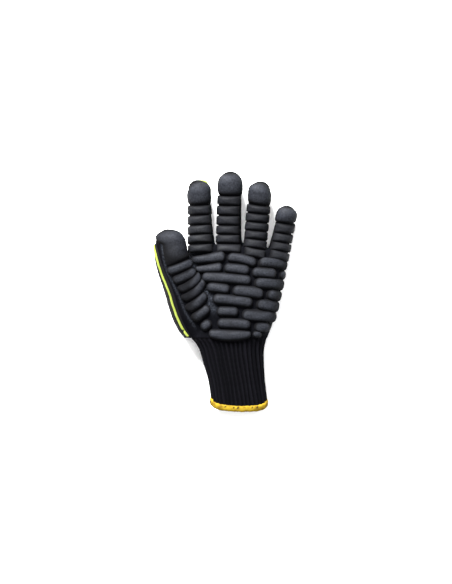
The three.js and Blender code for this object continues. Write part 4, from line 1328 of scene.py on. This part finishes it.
def hand_knit_material():
    """Knit that turns slate grey and a little shiny where the dip has soaked in."""
    made = knit_material("hand_knit", 1.5, 1.15, *HAND_KNIT_TONES, 0.35)
    material, tree, shader, colour, here, grain = made
    coat = vertex_value(tree, "coat")
    patchy = math(tree, "MULTIPLY", coat, math(tree, "MULTIPLY_ADD", grain["Cloud"], 0.8, 0.5))
    soaked = mixed(tree, patchy, colour, SOAKED_TONE)
    flecks = node(tree, "TexNoise", {"Vector": here, "Scale": 900.0, "Detail": 2.0}).outputs[0]
    bare = math(tree, "MULTIPLY", vertex_value(tree, "scuffed"), ranged(tree, flecks, 0.36, 0.66))
    roughness = math(tree, "MULTIPLY_ADD", coat, -0.3, KNIT_ROUGHNESS)
    finished(tree, shader, mixed(tree, bare, soaked, BARE_TONE), roughness, KNIT_SHINE)
    return material


def cuff_knit_material():
    """Ribbed knit with painted shade: the recess between ribs is painted darker. Each rib has a tone of
    its own, drawn from its number, which sets how light its ridge is painted."""
    made = knit_material("cuff_knit", RIB_PITCH / 3, 1.3, *CUFF_KNIT_TONES, 0.4)
    material, tree, shader, colour, _here, _grain = made
    place = node(tree, "UVMap", uv_map="surface").outputs[0]
    # Painted shade: a cosine round the ribs paints the recess between two ribs darker than the ridge.
    turn = math(tree, "MULTIPLY", node(tree, "SeparateXYZ", {0: place}).outputs[0], 2 * np.pi / RIB_PITCH)
    ridge = math(tree, "MULTIPLY_ADD", math(tree, "COSINE", turn), 0.5, 0.5)
    rib = math(tree, "FLOOR", math(tree, "ADD", math(tree, "MULTIPLY", turn, 0.5 / np.pi), 0.5))
    rib_tone = node(tree, "TexWhiteNoise", {"W": rib}, noise_dimensions="1D").outputs["Value"]
    ridge = math(tree, "MULTIPLY", ridge, math(tree, "MULTIPLY_ADD", rib_tone, 0.8, 0.2))
    finished(tree, shader, mixed(tree, ridge, PAINTED_RIB_SHADE, colour), KNIT_ROUGHNESS, KNIT_SHINE)
    return material


hand_knit = hand_knit_material()
cuff_knit = cuff_knit_material()
print("knits:", hand_knit.name, cuff_knit.name)

# %% [markdown]
# ## Golden yarn
# Each wrap of the binding is pale on its round, with painted shade deep between two. Its UV map counts
# the wraps, so a cosine of that number gives the tone and the painted shade. A few dark stitches show low
# on the band, and a brown knot marks where its ends meet.

# %% Golden yarn
# The dark tone is painted shade deep between two wraps; the light one is the yarn's own colour.
YARN_SHADED_TONES = (0.045, 0.019, 0.001), (0.205, 0.137, 0.008)
STITCH_TONE = (0.012, 0.008, 0.003)
STITCH_LINE = 0.06
STITCH_SPREAD = 0.05
STITCH_RARITY = 0.84
# Where the binding's ends are knotted off, and how far the brown knot reaches, in metres.
HEM_KNOT = (-0.0269, -0.1174, 0.0238)
HEM_KNOT_RADIUS = 0.0025


def yarn_material():
    """Yarn that is pale on each wrap's round, with painted shade deep between two, a few dark stitches
    low on the band and a brown knot where it ends."""
    material, tree, shader = new_material("golden_yarn")
    place = node(tree, "UVMap", uv_map="surface").outputs[0]
    parts = node(tree, "SeparateXYZ", {0: place})
    thread = math(tree, "ABSOLUTE", math(tree, "COSINE", math(tree, "MULTIPLY", parts.outputs[0], np.pi)))
    here, grain = grain_here(tree, 1800.0, 230.0)
    # Painted shade between the wraps, with a random cloudy tone.
    tone = math(tree, "MULTIPLY_ADD", thread, 0.5, ranged(tree, grain["Cloud"], 0.35, 0.62, top=0.7))
    group_of_wraps = math(tree, "FLOOR", math(tree, "MULTIPLY_ADD", parts.outputs[0], 1.1, 40.0))
    chance = node(tree, "TexWhiteNoise", {"W": group_of_wraps}, noise_dimensions="1D").outputs["Value"]
    from_line = math(tree, "ABSOLUTE", math(tree, "SUBTRACT", parts.outputs[1], STITCH_LINE))
    near_line = math(tree, "LESS_THAN", from_line, STITCH_SPREAD)
    stitch = math(tree, "MULTIPLY", near_line, math(tree, "GREATER_THAN", chance, STITCH_RARITY))
    from_knot = node(tree, "VectorMath", {0: here, 1: HEM_KNOT}, operation="DISTANCE").outputs["Value"]
    knot = ranged(tree, from_knot, HEM_KNOT_RADIUS, 0.4 * HEM_KNOT_RADIUS)
    mark = math(tree, "MAXIMUM", stitch, knot)
    colour = mixed(tree, mark, mixed(tree, tone, *YARN_SHADED_TONES), STITCH_TONE)
    finished(tree, shader, colour, roughness=0.85, specular=0.08)
    bumped(tree, shader, grain["Grain"], 0.15)
    return material


golden_yarn = yarn_material()
print("yarn:", golden_yarn.name)

# %% [markdown]
# ## Foam rubber and moulded rubber
# The foam is a dull blue-black. Its tone follows the height that each pad's mesh keeps: painted shade
# makes it nearly black in the grooves, and a painted light factor makes each crown lighter. The guards are
# smooth moulded rubber, black on the thumb and lime for the ridge, which only need a faint cloudiness.

# %% Foam rubber and moulded rubber
FOAM_TONES = (0.0008, 0.001, 0.0017), (0.0154, 0.0169, 0.0221)
# Painted shade: the foam is painted this near-black where a pad dives into a groove. Between the CROWN_FROM
# and CROWN_TO shares of a pad's height it goes over to the foam's own tone.
PAINTED_GROOVE_SHADE = (0.0005, 0.0005, 0.0009)
GUARD_TONES = (0.0003, 0.0003, 0.0005), (0.0013, 0.0013, 0.0018)
LIME_TONES = (0.12, 0.152, 0.013), (0.2, 0.235, 0.05)
CROWN_FROM = 0.54
CROWN_TO = 1.06


def foam_material():
    """Crumbly foam, painted dark in the grooves as shade and lighter on the crown by the pad's painted
    light factor. It is rougher in the grooves.
    """
    material, tree, shader = new_material("foam_rubber")
    _here, grain = grain_here(tree, 620.0, 60.0)
    crumbs = ranged(tree, grain["Grain"], 0.26, 0.74)
    tone = math(tree, "MULTIPLY_ADD", crumbs, 0.7, math(tree, "MULTIPLY", grain["Cloud"], 0.3))
    # Painted shade and light: below the crown the foam is painted in groove shade, and on it the pad's
    # painted light factor scales its own tone.
    crown = vertex_value(tree, "crown")
    risen = ranged(tree, crown, CROWN_FROM, CROWN_TO, interpolation_type="SMOOTHSTEP")
    painted_light_share = math(tree, "MULTIPLY", risen, vertex_value(tree, "pale"))
    colour = mixed(tree, painted_light_share, PAINTED_GROOVE_SHADE, mixed(tree, tone, *FOAM_TONES), clamp_factor=False)
    uneven = math(tree, "MULTIPLY_ADD", grain["Cloud"], 0.2, 0.88)
    finished(tree, shader, colour, math(tree, "MULTIPLY_ADD", risen, -0.35, uneven), specular=0.09)
    bumped(tree, shader, grain["Grain"], 0.22)
    return material


def moulded_material(name, dark, light, roughness):
    """Smooth rubber with a faint cloudy change of tone and a very fine grain."""
    material, tree, shader = new_material(name)
    _here, grain = grain_here(tree, 2200.0, 70.0)
    finished(tree, shader, mixed(tree, grain["Cloud"], dark, light), roughness, specular=0.1)
    bumped(tree, shader, grain["Grain"], 0.05)
    return material


foam_rubber = foam_material()
guard_rubber = moulded_material("guard_rubber", *GUARD_TONES, roughness=0.8)
lime_rubber = moulded_material("lime_rubber", *LIME_TONES, roughness=0.5)
print("rubbers:", foam_rubber.name, guard_rubber.name, lime_rubber.name)

# %% [markdown]
# ## Dress the pieces
# Each new surface takes the place of one or more nodes of the CAD model. The whole knitted hand is one
# piece and replaces six of them. Everything rides on the one body, as nothing on a glove has a hinge.

# %% Dress the pieces and tie them to the frame
PIECES = [
    (liner, hand_knit, "knit", ["palm_shell", *(f"{d.name}_stall" for d in digits)]),
    (cuff, cuff_knit, "rib_knit", ["cuff"]),
    (hem, golden_yarn, "hem_yarn", ["hem"]),
    (thumb_pads, foam_rubber, "foam_rubber", ["thumb_pads"]),
    *((piece, foam_rubber, "foam_rubber", [f"{name}_pads"]) for name, piece in finger_pad_sets.items()),
    *((pad, foam_rubber, "foam_rubber", [f"palm_pad_{k + 1:02d}"]) for k, pad in enumerate(palm_pads)),
    (thumb_guard, guard_rubber, "guard_rubber", ["thumb_guard"]),
    (thumb_stripe, lime_rubber, "lime_rubber", ["thumb_stripe"]),
    (index_guard, lime_rubber, "lime_rubber", ["index_guard"]),
]
for piece, material, slot, nodes in PIECES:
    piece.name = f"visual_{nodes[0]}"
    piece.data.materials.clear()
    piece.data.materials.append(material)
    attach(piece, "root")
    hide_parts(*nodes)
print("pieces:", len(PIECES))

# %% [markdown]
# ## Floor, light and camera
# The photograph is a plain packshot on white, seen square from above the palm. A pale floor that glows
# a little, one large soft light from beyond the fingertips, one overhead, a weak fill and an even sky
# give the same shape to the pads.

# %% Floor, lights and sky
FLOOR_HALF = 1.6
FLOOR_GLOW = 0.1
SKY_STRENGTH = 0.42


def make_floor():
    """A white square on the stage. Its weak glow keeps the shadow beside the glove pale."""
    x, y = np.meshgrid([-FLOOR_HALF, FLOOR_HALF], [-FLOOR_HALF, FLOOR_HALF])
    points = np.stack([x, y, np.zeros_like(x)], -1) / MM
    faces, _, _ = grid_faces(2, 2, wrap=False)
    floor = make_object("floor", points, faces.tolist())
    material, _tree, shader = new_material("pale_floor")
    shader.inputs["Base Color"].default_value = (0.96, 0.96, 0.96, 1)
    shader.inputs["Roughness"].default_value = 0.9
    shader.inputs["Emission Color"].default_value = (1, 1, 1, 1)
    shader.inputs["Emission Strength"].default_value = FLOOR_GLOW
    floor.data.materials.append(material)


def make_light(name, place, size, power):
    """A round soft light that points at the origin; size in metres, power in watts."""
    data = bpy.data.lights.new(name, "AREA")
    data.shape = "DISK"
    data.size = size
    data.energy = power
    light = bpy.data.objects.new(name, data)
    light.location = place
    bpy.context.scene.collection.objects.link(light)
    aim = -light.location
    light.rotation_euler = aim.to_track_quat("-Z", "Y").to_euler()


make_floor()
make_light("key", (-0.5, 1.35, 0.85), size=0.8, power=245)
make_light("overhead", (0.1, 0.1, 2.1), size=1.5, power=26)
make_light("fill", (0.9, -0.5, 1.3), size=1.2, power=10)
world = bpy.data.worlds.new("studio")
world.use_nodes = True
sky = world.node_tree
seen = node(sky, "LightPath").outputs["Is Camera Ray"]
backdrop = sky.nodes["Background"]
backdrop.inputs[0].default_value = (1, 1, 1, 1)
sky.links.new(math(sky, "MULTIPLY_ADD", seen, 1 - SKY_STRENGTH, SKY_STRENGTH), backdrop.inputs[1])
bpy.context.scene.world = world
bpy.context.scene.view_settings.view_transform = "Standard"
print("floor:", 2 * FLOOR_HALF, "m wide")

# %% [markdown]
# ## Camera
# The camera looks straight down, as in the photograph. The photograph's scale in millimetres a pixel, and
# the pixel where the frame's origin lies, give its place, so a render and the photograph can be laid over
# each other. It stands as far off as the lens needs to take in the photograph's whole height.

# %% Camera
PHOTO_WIDTH, PHOTO_HEIGHT = 452, 584
MM_PER_PIXEL = 1.05
FRAME_ORIGIN_PIXEL = (236, 290)
PALM_TOP = 25
CAMERA_LENS = 85
SENSOR = 36
middle_x = (PHOTO_WIDTH / 2 - FRAME_ORIGIN_PIXEL[0]) * MM_PER_PIXEL
middle_y = (FRAME_ORIGIN_PIXEL[1] - PHOTO_HEIGHT / 2) * MM_PER_PIXEL
distance = PHOTO_HEIGHT * MM_PER_PIXEL * CAMERA_LENS / SENSOR
camera_data = bpy.data.cameras.new("camera")
camera_data.lens = CAMERA_LENS
camera_data.sensor_width = SENSOR
camera = bpy.data.objects.new("camera", camera_data)
camera.location = (middle_x * MM, middle_y * MM, (distance + PALM_TOP) * MM)
bpy.context.scene.collection.objects.link(camera)
bpy.context.scene.camera = camera
print("camera height:", round(distance + PALM_TOP), "mm")
